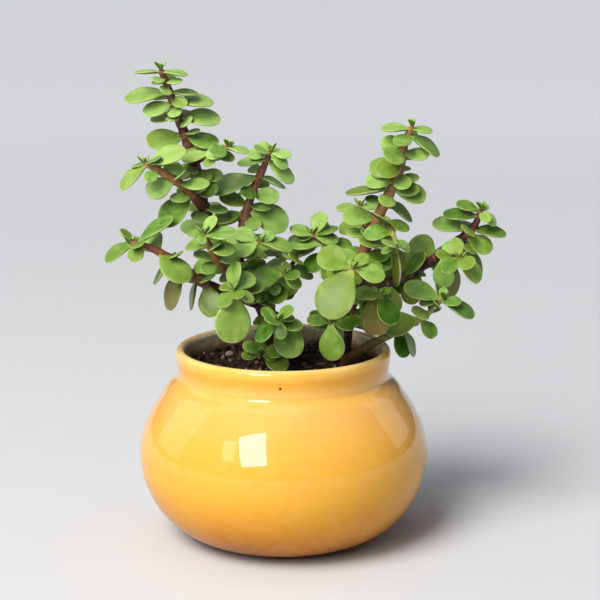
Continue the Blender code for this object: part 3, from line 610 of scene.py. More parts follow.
def spot_on_soil(size):
    """A seeded place on the soil that keeps off the pot's wall and the feet of the stems."""
    while True:
        radius = (soil_edge - size) * math.sqrt(draw.random())
        turn = draw.uniform(0, 2 * math.pi)
        x, y = radius * math.cos(turn), radius * math.sin(turn)
        if all(math.hypot(x - fx, y - fy) > foot + 0.6 + size for fx, fy, foot in STEM_FEET):
            return x, y


def any_turn():
    turns = [Matrix.Rotation(draw.uniform(0, 2 * math.pi), 4, axis) for axis in "XYZ"]
    return turns[0] @ turns[1] @ turns[2]


litter = bmesh.new()
tone = litter.verts.layers.float.new("tone")
for number in range(CRUMBS):
    size = CRUMB_SIZES[0] + (CRUMB_SIZES[1] - CRUMB_SIZES[0]) * draw.random() ** 2.2
    x, y = spot_on_soil(size)
    height = soil_top(x, y) + 0.35 * size
    squash = Matrix.Diagonal((1, draw.uniform(0.7, 1.0), draw.uniform(0.5, 0.9), 1))
    made = bmesh.ops.create_icosphere(litter, subdivisions=1, radius=size * MM)["verts"]
    shade = draw.random()
    for vertex in made:
        vertex.co *= draw.uniform(0.78, 1.15)
        vertex[tone] = shade
    place = Matrix.Translation(Vector((x, y, height)) * MM)
    bmesh.ops.transform(litter, matrix=place @ any_turn() @ squash, verts=made)
for number in range(SLIVERS):
    length = draw.uniform(1.8, 5.0)
    x, y = spot_on_soil(length / 2)
    made = bmesh.ops.create_cone(litter, cap_ends=True, segments=5, radius1=draw.uniform(0.15, 0.4) * MM,
                                 radius2=draw.uniform(0.1, 0.3) * MM, depth=length * MM)["verts"]
    shade = draw.uniform(0.55, 1.0)
    for vertex in made:
        vertex[tone] = shade
    heading = Matrix.Rotation(draw.uniform(0, 2 * math.pi), 4, "Z")
    lie = heading @ Matrix.Rotation(draw.uniform(1.35, 1.6), 4, "X")
    rest = Vector((x, y, soil_top(x, y) + 0.5)) * MM
    bmesh.ops.transform(litter, matrix=Matrix.Translation(rest) @ lie, verts=made)
crumbs = add_object("soil_crumbs", litter)

crumb_earth, tree, shader = new_material("crumbs", Roughness=0.93)
shade = add_node(tree, "ShaderNodeAttribute", attribute_name="tone").outputs["Fac"]
colour = colour_ramp(tree, shade, (
    (0.0, rgb(0.008, 0.005, 0.004)), (0.55, rgb(0.030, 0.017, 0.010)), (0.80, rgb(0.085, 0.046, 0.024)),
    (0.93, rgb(0.17, 0.095, 0.050)), (0.985, rgb(0.34, 0.25, 0.17)),
))
grit = use_group(tree, grain, object_coordinates(tree), Scale=2600.0, Size=0.4)
colour = blend(tree, maths(tree, "MULTIPLY", grit["Specks"], 0.3), colour, rgb(0.12, 0.075, 0.045))
tree.links.new(colour, shader.inputs["Base Color"])
bump(tree, shader, grit["Height"], 0.5, 0.0002)
crumbs.data.materials.append(crumb_earth)
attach(crumbs, "root")
print(f"crumbs: {CRUMBS} crumbs and {SLIVERS} slivers, {len(crumbs.data.polygons)} faces")

# %% [markdown]
# ## The plant's plan
# Where every stem runs and how every leaf sits is one table, the same one that the imported
# model grew from. Routes are (x, y, z, stem radius) in millimetres, root first. A leaf is
# (share of the stem's length, heading, lift, length, roll): the heading is its compass direction
# in degrees from +X towards +Y, the lift its angle above level, and the roll turns its face to
# -Y. Growing both models from one table keeps each fine leaf where its plain one is.

# %% Plan of the plant
Stem = namedtuple("Stem", "name route leaves")
Leaf = namedtuple("Leaf", "stem base along across face length width lift")

PLANTS = {
    "left_stem": [
        Stem("leader", [
            (-3, 2, 60, 3.6), (-3, 2, 74, 3.6), (-3.6, 1.5, 80, 3.5), (-9, -3, 100, 3.4),
            (-22, 0, 118, 3), (-33, 4, 139, 2.6), (-38, 6, 161, 2.3), (-45, 3, 183, 1.7),
            (-50, 0, 198, 1.2),
        ], [
            (1, 180, 3, 11.5, 8), (1, 0, -3, 11, 14), (1, -80, 40, 5), (1, 100, 35, 6),
            (0.96, -30, 8, 8), (0.96, 150, 5, 7), (0.93, 183, -4, 19, 12), (0.93, 5, 2, 12, 10),
            (0.945, -95, -12, 8), (0.89, -85, -22, 9, 20), (0.84, -60, 10, 9, 50),
            (0.77, -80, -35, 11, 20), (0.715, -100, -5, 11, 20), (0.65, -75, -30, 12, 30),
            (0.585, -100, -12, 12, 30), (0.51, -70, -25, 12, 30), (0.9, -150, -25, 14, 35),
            (0.9, 8, 4, 17), (0.86, -15, -2, 18, 30), (0.86, 178, -3, 12), (0.8, 200, -4, 17, 50),
            (0.8, -20, -38, 15, 40), (0.78, 20, 50, 9), (0.78, 20, -12, 16), (0.74, 100, 5, 14),
            (0.74, -105, -40, 10), (0.69, -20, -10, 12, 25), (0.69, 165, -5, 13), (0.62, -60, -25, 9),
            (0.62, 95, 5, 14), (0.54, 20, 5, 13), (0.54, 180, 20, 10), (0.47, -10, 8, 14, 45),
            (0.4, 140, 15, 15), (0.33, 60, 10, 16),
        ]),
        Stem("second", [
            (-19, 0, 114, 2.1), (-17, 7, 132, 1.9), (-13, 9, 146, 1.7), (-9, 9, 155, 1.5),
            (-5, 8, 164, 1.1),
        ], [
            (1, 185, -3, 9.5, 35), (1, -5, -3, 9, 20), (1, 150, 30, 7), (1, -20, -38, 10, 10),
            (0.92, -10, -38, 15), (0.92, 185, 15, 13), (0.77, 20, -20, 13), (0.77, 186, -12, 22),
            (0.62, -15, -5, 12, 55), (0.62, 110, 10, 12), (0.5, -5, -32, 19, 45), (0.45, 180, 10, 12),
            (0.42, -50, -25, 10, 30), (0.33, 75, 10, 14), (0.25, -10, -5, 14),
        ]),
        Stem("upper_right", [
            (-38, 5, 158, 1.4), (-31, -3, 163, 1.2), (-22, -6, 167, 0.9),
        ], [
            (1, -145, -40, 10, 30), (1, 0, -8, 10), (1, 60, 25, 6), (0.55, -80, -10, 9),
            (0.55, 100, 10, 9),
        ]),
        Stem("upper_left", [
            (-33, 4, 139, 2.1), (-37, -5, 146, 1.9), (-41, -9, 151, 1.7), (-49, -13, 157, 1.5),
            (-56, -15, 161, 1.1),
        ], [
            (1, 183, -48, 15), (1, 0, 24, 17, 30), (1, 110, 40, 6), (0.85, 60, 58, 8),
            (0.85, -120, -10, 8), (0.62, 200, -22, 13, 60), (0.62, -60, 30, 9), (0.35, 200, -40, 18, 50),
            (0.35, 60, 30, 10),
        ]),
        Stem("low_left", [
            (-9, -3, 100, 2.4), (-32, -13, 111, 2.1), (-44, -17, 121, 1.8), (-54, -19, 127, 1.4),
            (-62, -19, 129, 1),
        ], [
            (1, 165, 42, 8, 20), (1, -60, -35, 10, 20), (1, 180, -27, 14), (0.96, 10, 40, 19, 20),
            (0.8, -40, -42, 18.5, 20), (0.8, 120, 20, 16), (0.72, 190, -52, 13, 5),
            (0.62, 200, -66, 19, 25), (0.55, 20, 28, 14, 20), (0.5, 175, -74, 14, 10),
            (0.43, -60, -56, 15, 25), (0.43, 110, 10, 16),
        ]),
        Stem("front_left", [
            (-16, -2, 109, 1.9), (-25, -22, 120, 1.7), (-28, -32, 128, 1.4), (-31, -38, 136, 1),
        ], [
            (1, 20, 62, 9), (1, -10, 10, 13, 35), (1, 172, 10, 7, 30), (1, -100, 10, 6),
            (0.85, -35, -5, 12), (0.85, 145, 0, 12), (0.6, -130, -20, 9, 20), (0.4, 10, 20, 8, 40),
        ]),
        Stem("front_mid", [
            (-10, -3, 101, 1.4), (-16, -24, 108, 1.2), (-19, -42, 114, 0.9),
        ], [
            (1, 95, 70, 12), (0.97, 55, 58, 13), (1, -150, -60, 9), (1, 0, -25, 9, 40),
            (0.93, -102, -74, 21), (0.55, 180, -10, 10), (0.55, 10, 0, 10),
        ]),
        Stem("front_low", [
            (-7, -2, 92, 1.3), (-3, -22, 97, 1.1), (-2, -38, 101, 0.8),
        ], [
            (1, 180, 40, 8), (1, 0, 45, 8.5), (1, -165, -38, 12, 20), (1, -60, -60, 8),
            (0.7, -40, -50, 17), (0.6, 150, 0, 11),
        ]),
        Stem("front_right", [
            (-12, -2, 104, 1.2), (-5, -14, 112, 1.1), (1, -22, 117, 0.8),
        ], [
            (1, 190, -5, 13, 60), (1, -10, -33, 9), (1, 70, 40, 7), (0.6, -60, -30, 7),
            (0.5, 80, 10, 10),
        ]),
        Stem("basal", [
            (-3, 2, 80, 1.3), (-6, -15, 83, 1.1), (-9, -26, 84, 0.8),
        ], [
            (1, 178, 35, 9), (1, -10, -15, 6.5, 40), (0.8, -45, -22, 13, 30),
        ]),
        Stem("inner_right", [
            (-21, 0, 117, 1.3), (-15, -18, 128, 1.1), (-9, -27, 131, 0.8),
        ], [
            (1, 165, 25, 11), (1, 8, -8, 15), (0.95, 20, 25, 8, 30), (0.85, 175, 12, 11),
            (0.6, -60, -20, 9), (0.5, 100, 10, 10),
        ]),
        Stem("inner_back", [
            (-10, -1, 102, 1.4), (0, 8, 110, 1.2), (6, 15, 118, 0.9),
        ], [
            (1, 90, 30, 11), (1, -90, 5, 12), (1, 0, 20, 11), (1, 180, 20, 11), (0.7, 30, -10, 13),
            (0.7, -140, 0, 13), (0.45, 120, -10, 13), (0.45, -60, -10, 13),
        ]),
        Stem("back_left", [
            (-24, 1, 121, 1.4), (-30, 18, 128, 1.2), (-36, 30, 137, 0.9),
        ], [
            (1, 100, 0, 12), (1, -170, 10, 9), (1, 10, 10, 9), (0.7, 40, -20, 15), (0.7, -150, -5, 14),
            (0.45, 110, -20, 14), (0.4, 0, 0, 12),
        ]),
        Stem("back_mid", [
            (-9, -1, 98, 1.4), (-8, 16, 106, 1.2), (-12, 30, 117, 0.9),
        ], [
            (1, 95, 5, 12), (1, 180, 5, 10), (1, 0, 10, 10), (0.75, 60, -20, 15), (0.75, -120, 10, 12),
            (0.5, 150, -25, 14), (0.5, -10, -20, 14), (0.3, 90, -50, 15),
        ]),
    ],
    "right_stem": [
        Stem("right_leader", [
            (26, 8, 60, 3), (26, 8, 74, 3), (26.2, 7.8, 80, 2.9), (28, 6, 96, 2.8), (32, 4, 113, 2.6),
            (36, 2, 128, 2.4), (42, 0, 142, 2.2), (48, -2, 156, 1.8), (50, -4, 168, 1.5),
            (53, -5, 175, 1.1),
        ], [
            (1, 180, 5, 12.5, 6), (1, -2, -2, 9, 12), (1, -120, 35, 6), (1, 90, 30, 5),
            (0.91, -120, -8, 14, 40), (0.82, -75, -20, 11, 30), (0.745, -100, -15, 11, 30),
            (0.67, -80, -30, 12, 30), (0.6, -100, 0, 11, 30), (0.52, -75, -35, 12, 30),
            (0.97, -5, -31, 16), (0.93, 185, 8, 10, 40), (0.93, 0, 15, 6), (0.88, -140, -22, 14, 30),
            (0.88, 50, 5, 9), (0.84, 176, -14, 13, 70), (0.8, 190, 0, 13, 25), (0.8, 0, 12, 10, 20),
            (0.77, -10, -12, 15, 40), (0.77, 182, -2, 20, 15), (0.72, 15, -42, 15), (0.72, 190, 0, 9),
            (0.65, 180, 8, 15), (0.62, 30, 25, 10), (0.58, 185, 15, 10, 30), (0.55, 30, -20, 13),
            (0.5, 190, 12, 11, 40), (0.45, 190, 0, 17, 55), (0.45, 60, 0, 16), (0.33, 120, 0, 17),
            (0.25, 60, -10, 17), (0.4, -15, -25, 17, 30), (0.3, -10, 5, 17, 30),
        ]),
        Stem("far_right", [
            (31, 4, 107, 2.2), (45, 6, 108, 2.1), (60, 8, 115, 2), (72, 6, 124, 2.1), (80, 4, 132, 1.6),
            (83, 3, 140, 1.1),
        ], [
            (1, 178, 22, 11), (1, -10, -28, 9), (1, -60, -60, 7), (1, 60, 25, 7), (0.95, 182, 6, 15.5),
            (0.95, 0, 10, 8), (0.85, 178, 12, 17), (0.85, -5, -4, 15), (0.8, -25, -28, 13, 30),
            (0.74, -20, -60, 20, 20), (0.65, 100, 0, 13), (0.55, 170, 28, 16, 50), (0.5, 185, -3, 14),
            (0.5, 20, -40, 13), (0.62, -30, -70, 21, 25), (0.35, 80, 0, 17), (0.2, 50, 50, 18),
            (0.2, -60, -60, 14), (0.42, -150, -40, 16), (0.3, -20, 20, 15),
        ]),
        Stem("big_leaf", [
            (34, 3, 119, 1.4), (31, -20, 120, 1.2), (28, -38, 122, 0.9),
        ], [
            (1, 165, 22, 16, 50), (0.97, -150, -52, 23, 50), (1, -10, -13, 13, 50), (1, 20, 45, 8),
            (0.6, 170, -12, 14), (0.6, 0, 0, 10),
        ]),
        Stem("drooping", [
            (40, 1, 137, 1.3), (44, -16, 134, 1.1), (46, -26, 128, 0.9),
        ], [
            (1, 10, -86, 17, 0), (1, 180, -20, 7), (0.5, -100, -30, 8, 20), (0.3, 5, -12, 11),
            (0.85, 10, -30, 8),
        ]),
        Stem("inner_left", [
            (29, 5, 100, 1.5), (23, 11, 117, 1.3), (12, 12, 128, 0.9),
        ], [
            (1, 30, 48, 11), (1, 185, 20, 11), (1, 0, 22, 11), (0.9, 60, 70, 12), (0.8, 180, -3, 16, 40),
            (0.75, 20, 5, 12), (0.6, 180, -8, 15), (0.45, 100, 0, 13), (0.4, -20, 15, 12),
        ]),
        Stem("back_right", [
            (35, 3, 124, 1.3), (36, 20, 132, 1.1), (33, 27, 138, 0.9),
        ], [
            (1, 180, 2, 11), (1, 20, 5, 10), (1, 90, 30, 7), (0.7, 95, -15, 13), (0.6, 10, -10, 13),
            (0.6, 180, -20, 13),
        ]),
        Stem("back_far", [
            (29, 6, 100, 1.4), (40, 22, 106, 1.2), (48, 32, 114, 0.9),
        ], [
            (1, 60, 5, 14), (1, -20, 5, 14), (1, 150, 20, 11), (0.75, 120, -15, 17),
            (0.75, -30, -25, 16), (0.5, 80, -35, 17), (0.5, 170, 0, 14), (0.45, -40, -30, 16),
        ]),
        Stem("inner_front", [
            (27, 6, 92, 1.3), (23, -12, 95, 1.1), (19, -24, 97, 0.8),
        ], [
            (1, -80, -74, 16), (1, 175, 10, 10, 30), (0.9, 20, -40, 9), (0.7, 172, 20, 12, 30),
            (0.6, 0, 0, 10),
        ]),
        Stem("mid_front", [
            (29, 6, 98, 1.3), (35, -14, 106, 1.1), (39, -26, 109, 0.8),
        ], [
            (0.75, -85, -68, 17), (1, -100, -72, 17), (1, 165, 5, 10, 50), (1, -35, -52, 14),
            (1, 20, 25, 6), (0.6, 60, 0, 10),
        ]),
        Stem("far_right_twig", [
            (64, 8, 118, 1.2), (70, -5, 121, 1), (73, -14, 122, 0.8),
        ], [
            (1, -15, -45, 13), (1, -150, -30, 10, 40), (1, 120, 62, 9), (0.3, -80, -75, 13),
            (0.6, 100, 10, 9),
        ]),
    ],
    "low_sprig": [
        Stem("low_sprig", [
            (25.5, -10, 60, 2.2), (25.5, -10, 73, 2.2), (26.2, -9.4, 77, 2.1), (32, -5, 80.4, 2),
            (39, 0, 83.4, 1.8), (46, 2.5, 86, 1.5), (50.5, 0.5, 89.8, 1.3), (58.6, -4, 94.6, 1.1),
            (66.6, -10, 104.4, 0.8),
        ], [
            (1, -5, -22, 15.5, 15), (1, 174, 24, 17, 15), (1, 60, 55, 6), (0.93, -80, 20, 8),
            (0.79, 186, -10, 16.5, 40), (0.79, -20, -46, 10), (0.61, -70, -78, 12, 10),
            (0.655, -10, -70, 14, 0), (0.7, 60, 10, 9),
        ]),
    ],
}
print("plan:", {plant: f"{len(stems)} stems" for plant, stems in PLANTS.items()})

# %% [markdown]
# ## Curves and leaf axes
# A Catmull-Rom curve passes through its own control points, so a stem's route can be read off
# the photograph point by point. Each leaf then gets three axes: along its rib, across its
# blade, and out of its upper face.

# %% Routes and axes
def smooth_route(route, steps=8):
    """A Catmull-Rom curve through the route's points, as rows of x, y, z and radius."""
    points = np.array(route, dtype=float)
    rows = []
    last = len(points) - 1
    for index in range(last):
        before, start = points[max(index - 1, 0)], points[index]
        end, after = points[index + 1], points[min(index + 2, last)]
        for step in range(steps):
            t = step / steps
            rows.append(0.5 * (
                2 * start + (end - before) * t + (2 * before - 5 * start + 4 * end - after) * t * t
                + (3 * start - before - 3 * end + after) * t ** 3
            ))
    rows.append(points[last])
    return np.array(rows)


def stem_length(stem):
    """A stem's length along its curve, in millimetres."""
    return np.linalg.norm(np.diff(smooth_route(stem.route)[:, :3], axis=0), axis=1).sum()


def along_route(route, share):
    """The x, y, z and radius at a share of a route's length."""
    rows = smooth_route(route)
    reach = np.concatenate(([0.0], np.cumsum(np.linalg.norm(np.diff(rows[:, :3], axis=0), axis=1))))
    return np.array([np.interp(share * reach[-1], reach, rows[:, column]) for column in range(4)])


def leaf_axes(heading, lift, roll):
    """A leaf's own axes: along its rib, across its blade, and out of its upper face."""
    heading, lift, roll = (math.radians(angle) for angle in (heading, lift, roll))
    along = np.array([math.cos(lift) * math.cos(heading), math.cos(lift) * math.sin(heading), math.sin(lift)])
    level = np.array([-math.sin(heading), math.cos(heading), 0.0])
    upper = np.cross(along, level)
    towards_viewer = -level if level[1] > 0.05 or (abs(level[1]) <= 0.05 and level[0] < 0) else level
    face = math.cos(roll) * upper + math.sin(roll) * towards_viewer
    return along, np.cross(face, along), face


for plant, stems in PLANTS.items():
    print(f"{plant}: {sum(stem_length(stem) for stem in stems):.0f} mm of stem")

# %% [markdown]
# ## Settling the leaves
# Leaves that grow by a plain rule would cut through each other. The real plant turns each leaf
# to where it finds room, and so does this: every leaf tries its own direction first, then small
# turns of it, until its blade is clear of all that grew before. Leaves listed in the plan go first,
# the nearest to the viewer ahead, and then pairs of smaller ones fill the stems. The draw is
# seeded, so the same plant grows each time.

# %% Settle the leaves
ROUNDNESS = 0.77
THICKNESS_START = 1.0
THICKNESS_GROWTH = 0.06
STALK_WIDTH = 1.9
STALK_THICKNESS = 1.3
SAG = 0.07
WIDEST_AT = 0.60
TOP_GAP = 1.3
ROOT_SUNK = 0.5
LOW_ROLL = 38.0
HIGH_ROLL = 25.0
LOW_LEVEL = 90.0
HIGH_LEVEL = 160.0
ROLL_SPREAD = 12.0
TURN_SEED = 7
FILL_STEP = 8.0
FILL_TRIES = 9
FILL_TURN = 15.0
FILL_LENGTHS = (11.0, 17.0)
TIP_SHRINK = 0.35
FILL_LIFTS = (-12.0, 22.0)
BARE_TRUNK = 40.0
BARE_SHOOT = 9.0
OWN_CLEARANCE = 1.15
OTHER_CLEARANCE = 2.6
FULL_LENGTH = 12.0


def blade_width(t):
    """Half the blade's width at a share of its length, as a share of its greatest half width."""
    if t > WIDEST_AT:
        return math.sqrt(max(0.0, 1 - ((t - WIDEST_AT) / (1 - WIDEST_AT)) ** 2))
    return math.sin(math.pi / 2 * t / WIDEST_AT) ** 1.4


def grow_leaf(stem, base, heading, lift, length, roll):
    along, across, face = leaf_axes(heading, lift, roll)
    root = base - along * ROOT_SUNK
    return Leaf(stem, root, along, across, face, length + ROOT_SUNK, length * ROUNDNESS, lift)


def blade_samples(leaf):
    """Points spread over a leaf's blade, its stalk left out."""
    points = []
    for t in np.linspace(0.34, 0.97, 8):
        for side in np.linspace(-0.85, 0.85, 5):
            offset = leaf.along * t * leaf.length - leaf.face * SAG * leaf.length * t * t
            points.append(leaf.base + offset + leaf.across * side * blade_width(t) * leaf.width / 2)
    return np.array(points)


def stem_points(stems):
    """Points down the middle of a plant's stems, and the stem's radius at each."""
    rows = np.vstack([smooth_route(stem.route) for stem in stems])
    return rows[:, :3], rows[:, 3]


def clear_of_pot(points):
    """True where a blade stays off the pot's lip and wall, and off the soil."""
    radius = np.hypot(points[:, 0], points[:, 1])
    height = points[:, 2]
    over = height > POT_HEIGHT + OWN_CLEARANCE
    in_mouth = (radius < LIP_RADIUS - WALL - OWN_CLEARANCE) & (height > SOIL_HEIGHT + 2 * SOIL_MOUND)
    outside = (radius > LIP_RADIUS + OWN_CLEARANCE) & (height > COLLAR_HEIGHT)
    return bool(np.all(over | in_mouth | outside))


def nearest(points, others):
    """The least distance between two sets of points."""
    return np.sqrt(((points[:, None, :] - others[None, :, :]) ** 2).sum(axis=2).min())


def room_of(leaf, plant, settled, stems_of):
    """How clear a leaf is: 1 or more is clear enough, and below 1 it is too near something."""
    points = blade_samples(leaf)
    if not clear_of_pot(points):
        return 0.0
    middle = points.mean(axis=0)
    room = 2.0
    for other_plant, other_middle, other_points in settled:
        if np.linalg.norm(middle - other_middle) < 28.0:
            own = OWN_CLEARANCE * min(1.0, leaf.length / FULL_LENGTH)
            clearance = own if other_plant == plant else OTHER_CLEARANCE
            room = min(room, nearest(points, other_points) / clearance)
    for other_plant, (centres, radii) in stems_of.items():
        clearance = 0.6 if other_plant == plant else OTHER_CLEARANCE
        distance = np.linalg.norm(points[:, None, :] - centres[None, :, :], axis=2) - radii[None, :]
        room = min(room, distance.min() / clearance)
    return room


def fill_pairs(stem, draw):
    """Leaf pairs all along a stem, each a quarter turn from the last, and smaller towards its tip."""
    bare = BARE_TRUNK if stem.route[0][2] < SOIL_HEIGHT else BARE_SHOOT
    length = stem_length(stem)
    heading = draw.uniform(0, 180)
    rows = []
    reach = length * 0.97
    while reach > bare:
        for side in (0, 180):
            turn = heading + side + draw.uniform(-FILL_TURN, FILL_TURN)
            lift = draw.uniform(*FILL_LIFTS)
            leaf_length = draw.uniform(*FILL_LENGTHS) * (1 - TIP_SHRINK * reach / length)
            rows.append((reach / length, turn, lift, leaf_length))
        heading += 90
        reach -= FILL_STEP
    return rows


def settle(plants):
    """Turns each leaf a little, where it must, until it is clear of what grew before it."""
    draw = random.Random(TURN_SEED)
    wanted = []
    fill = []
    for plant, stems in plants.items():
        for stem in stems:
            top = 1 - TOP_GAP / stem_length(stem)
            for rows, leaves in ((wanted, stem.leaves), (fill, fill_pairs(stem, draw))):
                for share, heading, lift, length, *roll in leaves:
                    base = along_route(stem.route, min(share, top))[:3]
                    high = min(1.0, max(0.0, (base[2] - LOW_LEVEL) / (HIGH_LEVEL - LOW_LEVEL)))
                    roll = roll[0] if roll else LOW_ROLL + (HIGH_ROLL - LOW_ROLL) * high
                    roll += draw.uniform(-ROLL_SPREAD, ROLL_SPREAD)
                    rows.append((plant, stem.name, base, heading, lift, length, roll))
    wanted.sort(key=lambda row: row[2][1] + row[5] * leaf_axes(row[3], row[4], 0)[0][1])
    swings = [(turn, rise) for turn in range(-36, 37, 12) for rise in range(-30, 31, 10)]
    swings.sort(key=lambda swing: abs(swing[0]) + abs(swing[1]))
    stems_of = {plant: stem_points(stems) for plant, stems in plants.items()}
    settled = []
    leaves = {plant: [] for plant in plants}
    for rows, tries in ((wanted, swings), (fill, swings[:FILL_TRIES])):
        for plant, stem, base, heading, lift, length, roll in rows:
            for turn, rise in tries:
                leaf = grow_leaf(stem, base, heading + turn, lift + rise, length, roll)
                if room_of(leaf, plant, settled, stems_of) >= 1:
                    points = blade_samples(leaf)
                    settled.append((plant, points.mean(axis=0), points))
                    leaves[plant].append(leaf)
                    break
    return leaves


leaves = settle(PLANTS)
print("leaves:", {plant: len(grown) for plant, grown in leaves.items()})

# %% [markdown]
# ## One succulent leaf
# Each leaf is a thick spoon: a short stalk, a blade widest past its middle, a round tip, a
# slightly dished upper face and a fuller underside. It starts as a UV sphere whose poles become
# the root and the tip, so the rings run across the leaf. Every vertex keeps where it sits on the
# leaf, which lets the material paint a pale highlight along the rim, and shade on the underside,
# without any image. A level of subdivision rounds the 80 faces.

# %% Leaf shape
LEAF_SIDES = 10
LEAF_RINGS = 8
BUD_PLUMPNESS = 0.85
DISH = 0.20
CUP = 0.13
FULLNESS_ABOVE = 0.42
FULLNESS_BELOW = 0.66
SQUARENESS = 0.75
SMOOTHING_LOSS = 1.04
# Old hanging leaves: how steeply a leaf of this stem hangs to be one, in degrees, and how brown
AGED = {"low_left": (-61, 0.95), "mid_front": (-66, 0.80), "far_right": (-66, 0.55),
        "low_sprig": (-68, 0.60), "drooping": (-80, 0.40)}
bend = random.Random(23)


def between(start, end, share):
    return start + (end - start) * share


def leaf_looks(leaf):
    """The leaf's tone from dark 0 to pale 1, painted light included, how brown it is and how yellow, each
    from 0 to 1.
    """
    height = leaf.base[2] + leaf.along[2] * leaf.length
    high = min(1.0, max(0.0, (height - 75.0) / 105.0))
    young = min(1.0, max(0.0, (14.0 - leaf.length) / 10.0))
    # Leaves turned to the front, towards the camera and the lamps, are painted paler: painted light.
    painted_front_light = min(1.0, max(0.0, -leaf.face[1])) * 0.12
    # Higher leaves are paler: partly the fresher green high on the plant, partly painted shade low in it.
    shade = 0.10 + 0.52 * high + 0.22 * young + painted_front_light + bend.uniform(-0.20, 0.20)
    steep, most = AGED.get(leaf.stem, (-90, 0.0))
    brown = most * bend.uniform(0.6, 1.0) if leaf.lift < steep else bend.uniform(0.0, 0.12)
    return min(1.0, max(0.0, shade)), brown, bend.random()


def fine_leaf(shape, layers, leaf, plumpness=1.0):
    """Adds one leaf to a bmesh, with its place on the blade and its looks in the vertex layers."""
    looks = Vector(leaf_looks(leaf))
    cup = CUP * bend.uniform(0.3, 1.8)
    twist = math.radians(bend.uniform(-7, 7))
    notch = bend.uniform(-0.004, 0.022)
    thickness = plumpness * (THICKNESS_START + THICKNESS_GROWTH * leaf.length)
    made = bmesh.ops.create_uvsphere(shape, u_segments=LEAF_SIDES, v_segments=LEAF_RINGS, radius=1)
    for vertex in made["verts"]:
        t = (1 + vertex.co.z) / 2
        on_axis = math.hypot(vertex.co.x, vertex.co.y) < 0.001
        turn = math.atan2(vertex.co.y, vertex.co.x)
        side = 0.0 if on_axis else math.cos(turn)
        up = 0.0 if on_axis else math.copysign(abs(math.sin(turn)) ** SQUARENESS, math.sin(turn))
        width = blade_width(t) * leaf.width / 2 * SMOOTHING_LOSS
        depth = thickness * math.sqrt(max(0.0, math.sin(math.pi * t)))
        if t < WIDEST_AT:
            width = max(width, STALK_WIDTH / 2 * plumpness)
            depth = max(depth, STALK_THICKNESS * plumpness)
        rise = (FULLNESS_ABOVE if up > 0 else FULLNESS_BELOW) * depth * up
        rise -= DISH * depth * (1 - side * side) * max(0.0, up)
        rise += cup * width * side * side * math.sin(math.pi * min(1.0, t * 1.1))
        across = leaf.across * math.cos(twist * t) + leaf.face * math.sin(twist * t)
        reach = t - notch * max(0.0, t - 0.9) * 10 * (1 - side * side)
        place = leaf.base + leaf.along * reach * leaf.length + across * side * width
        place = place + leaf.face * (rise - SAG * leaf.length * t * t)
        vertex.co = Vector(place) * MM
        vertex[layers["blade"]] = Vector((side, t, up))
        vertex[layers["looks"]] = looks
    return made["verts"]


def tip_buds(stem):
    """Two pairs of tiny leaves that stand at the tip of a stem, ready to open."""
    base = along_route(stem.route, 1.0)[:3]
    heading = bend.uniform(0, 180)
    buds = []
    for length, lift, turn in ((4.6, 52, 90), (4.2, 56, 270), (2.8, 72, 0), (2.6, 74, 180)):
        along, across, face = leaf_axes(heading + turn + bend.uniform(-10, 10), lift, 0)
        buds.append(Leaf(stem.name, base - along * 0.3, along, across, face, length, length * 0.55, lift))
    return buds


def leafy_piece(name, plant):
    """All leaves and tip buds of one plant as one piece."""
    shape = bmesh.new()
    layers = {label: shape.verts.layers.float_vector.new(label) for label in ("blade", "looks")}
    for leaf in leaves[plant]:
        fine_leaf(shape, layers, leaf)
    for stem in PLANTS[plant]:
        for bud in tip_buds(stem):
            fine_leaf(shape, layers, bud, BUD_PLUMPNESS)
    piece = add_object(name, shape)
    piece.data.shade_smooth()
    rounding = piece.modifiers.new("rounding", "SUBSURF")
    rounding.levels = 1
    rounding.render_levels = 1
    return piece


foliage = {
    "left_stem": leafy_piece("left_leaves", "left_stem"),
    "right_stem": leafy_piece("right_leaves", "right_stem"),
    "low_sprig": leafy_piece("sprig_leaves", "low_sprig"),
}
for plant, piece in foliage.items():
    print(f"{piece.name}: {len(piece.data.polygons)} faces before subdivision")

# %% [markdown]
# ## The leaf's skin
# A jade leaf is waxy, a light yellow green where it is young and deeper low on the plant. The
# deeper tone low down is partly the older leaves' own green and partly painted shade, and leaves
# turned to the front are painted paler, as painted light. A pale painted highlight runs along the
# rim where the two faces meet, and the underside is darkened as painted shade. Old hanging leaves
# turn olive brown. The looks attribute gives each leaf its own tone, painted light included, the
# blade attribute finds the rim and the underside, and clouding keeps each blade from being flat.
# Light goes a little way into such watery leaves, so the skin has some subsurface scattering. A
# pale painted sheen lies on the upper faces of the leaves that stand in the light.

# %% Leaf skin
LIGHT_IN_LEAF = 0.0012


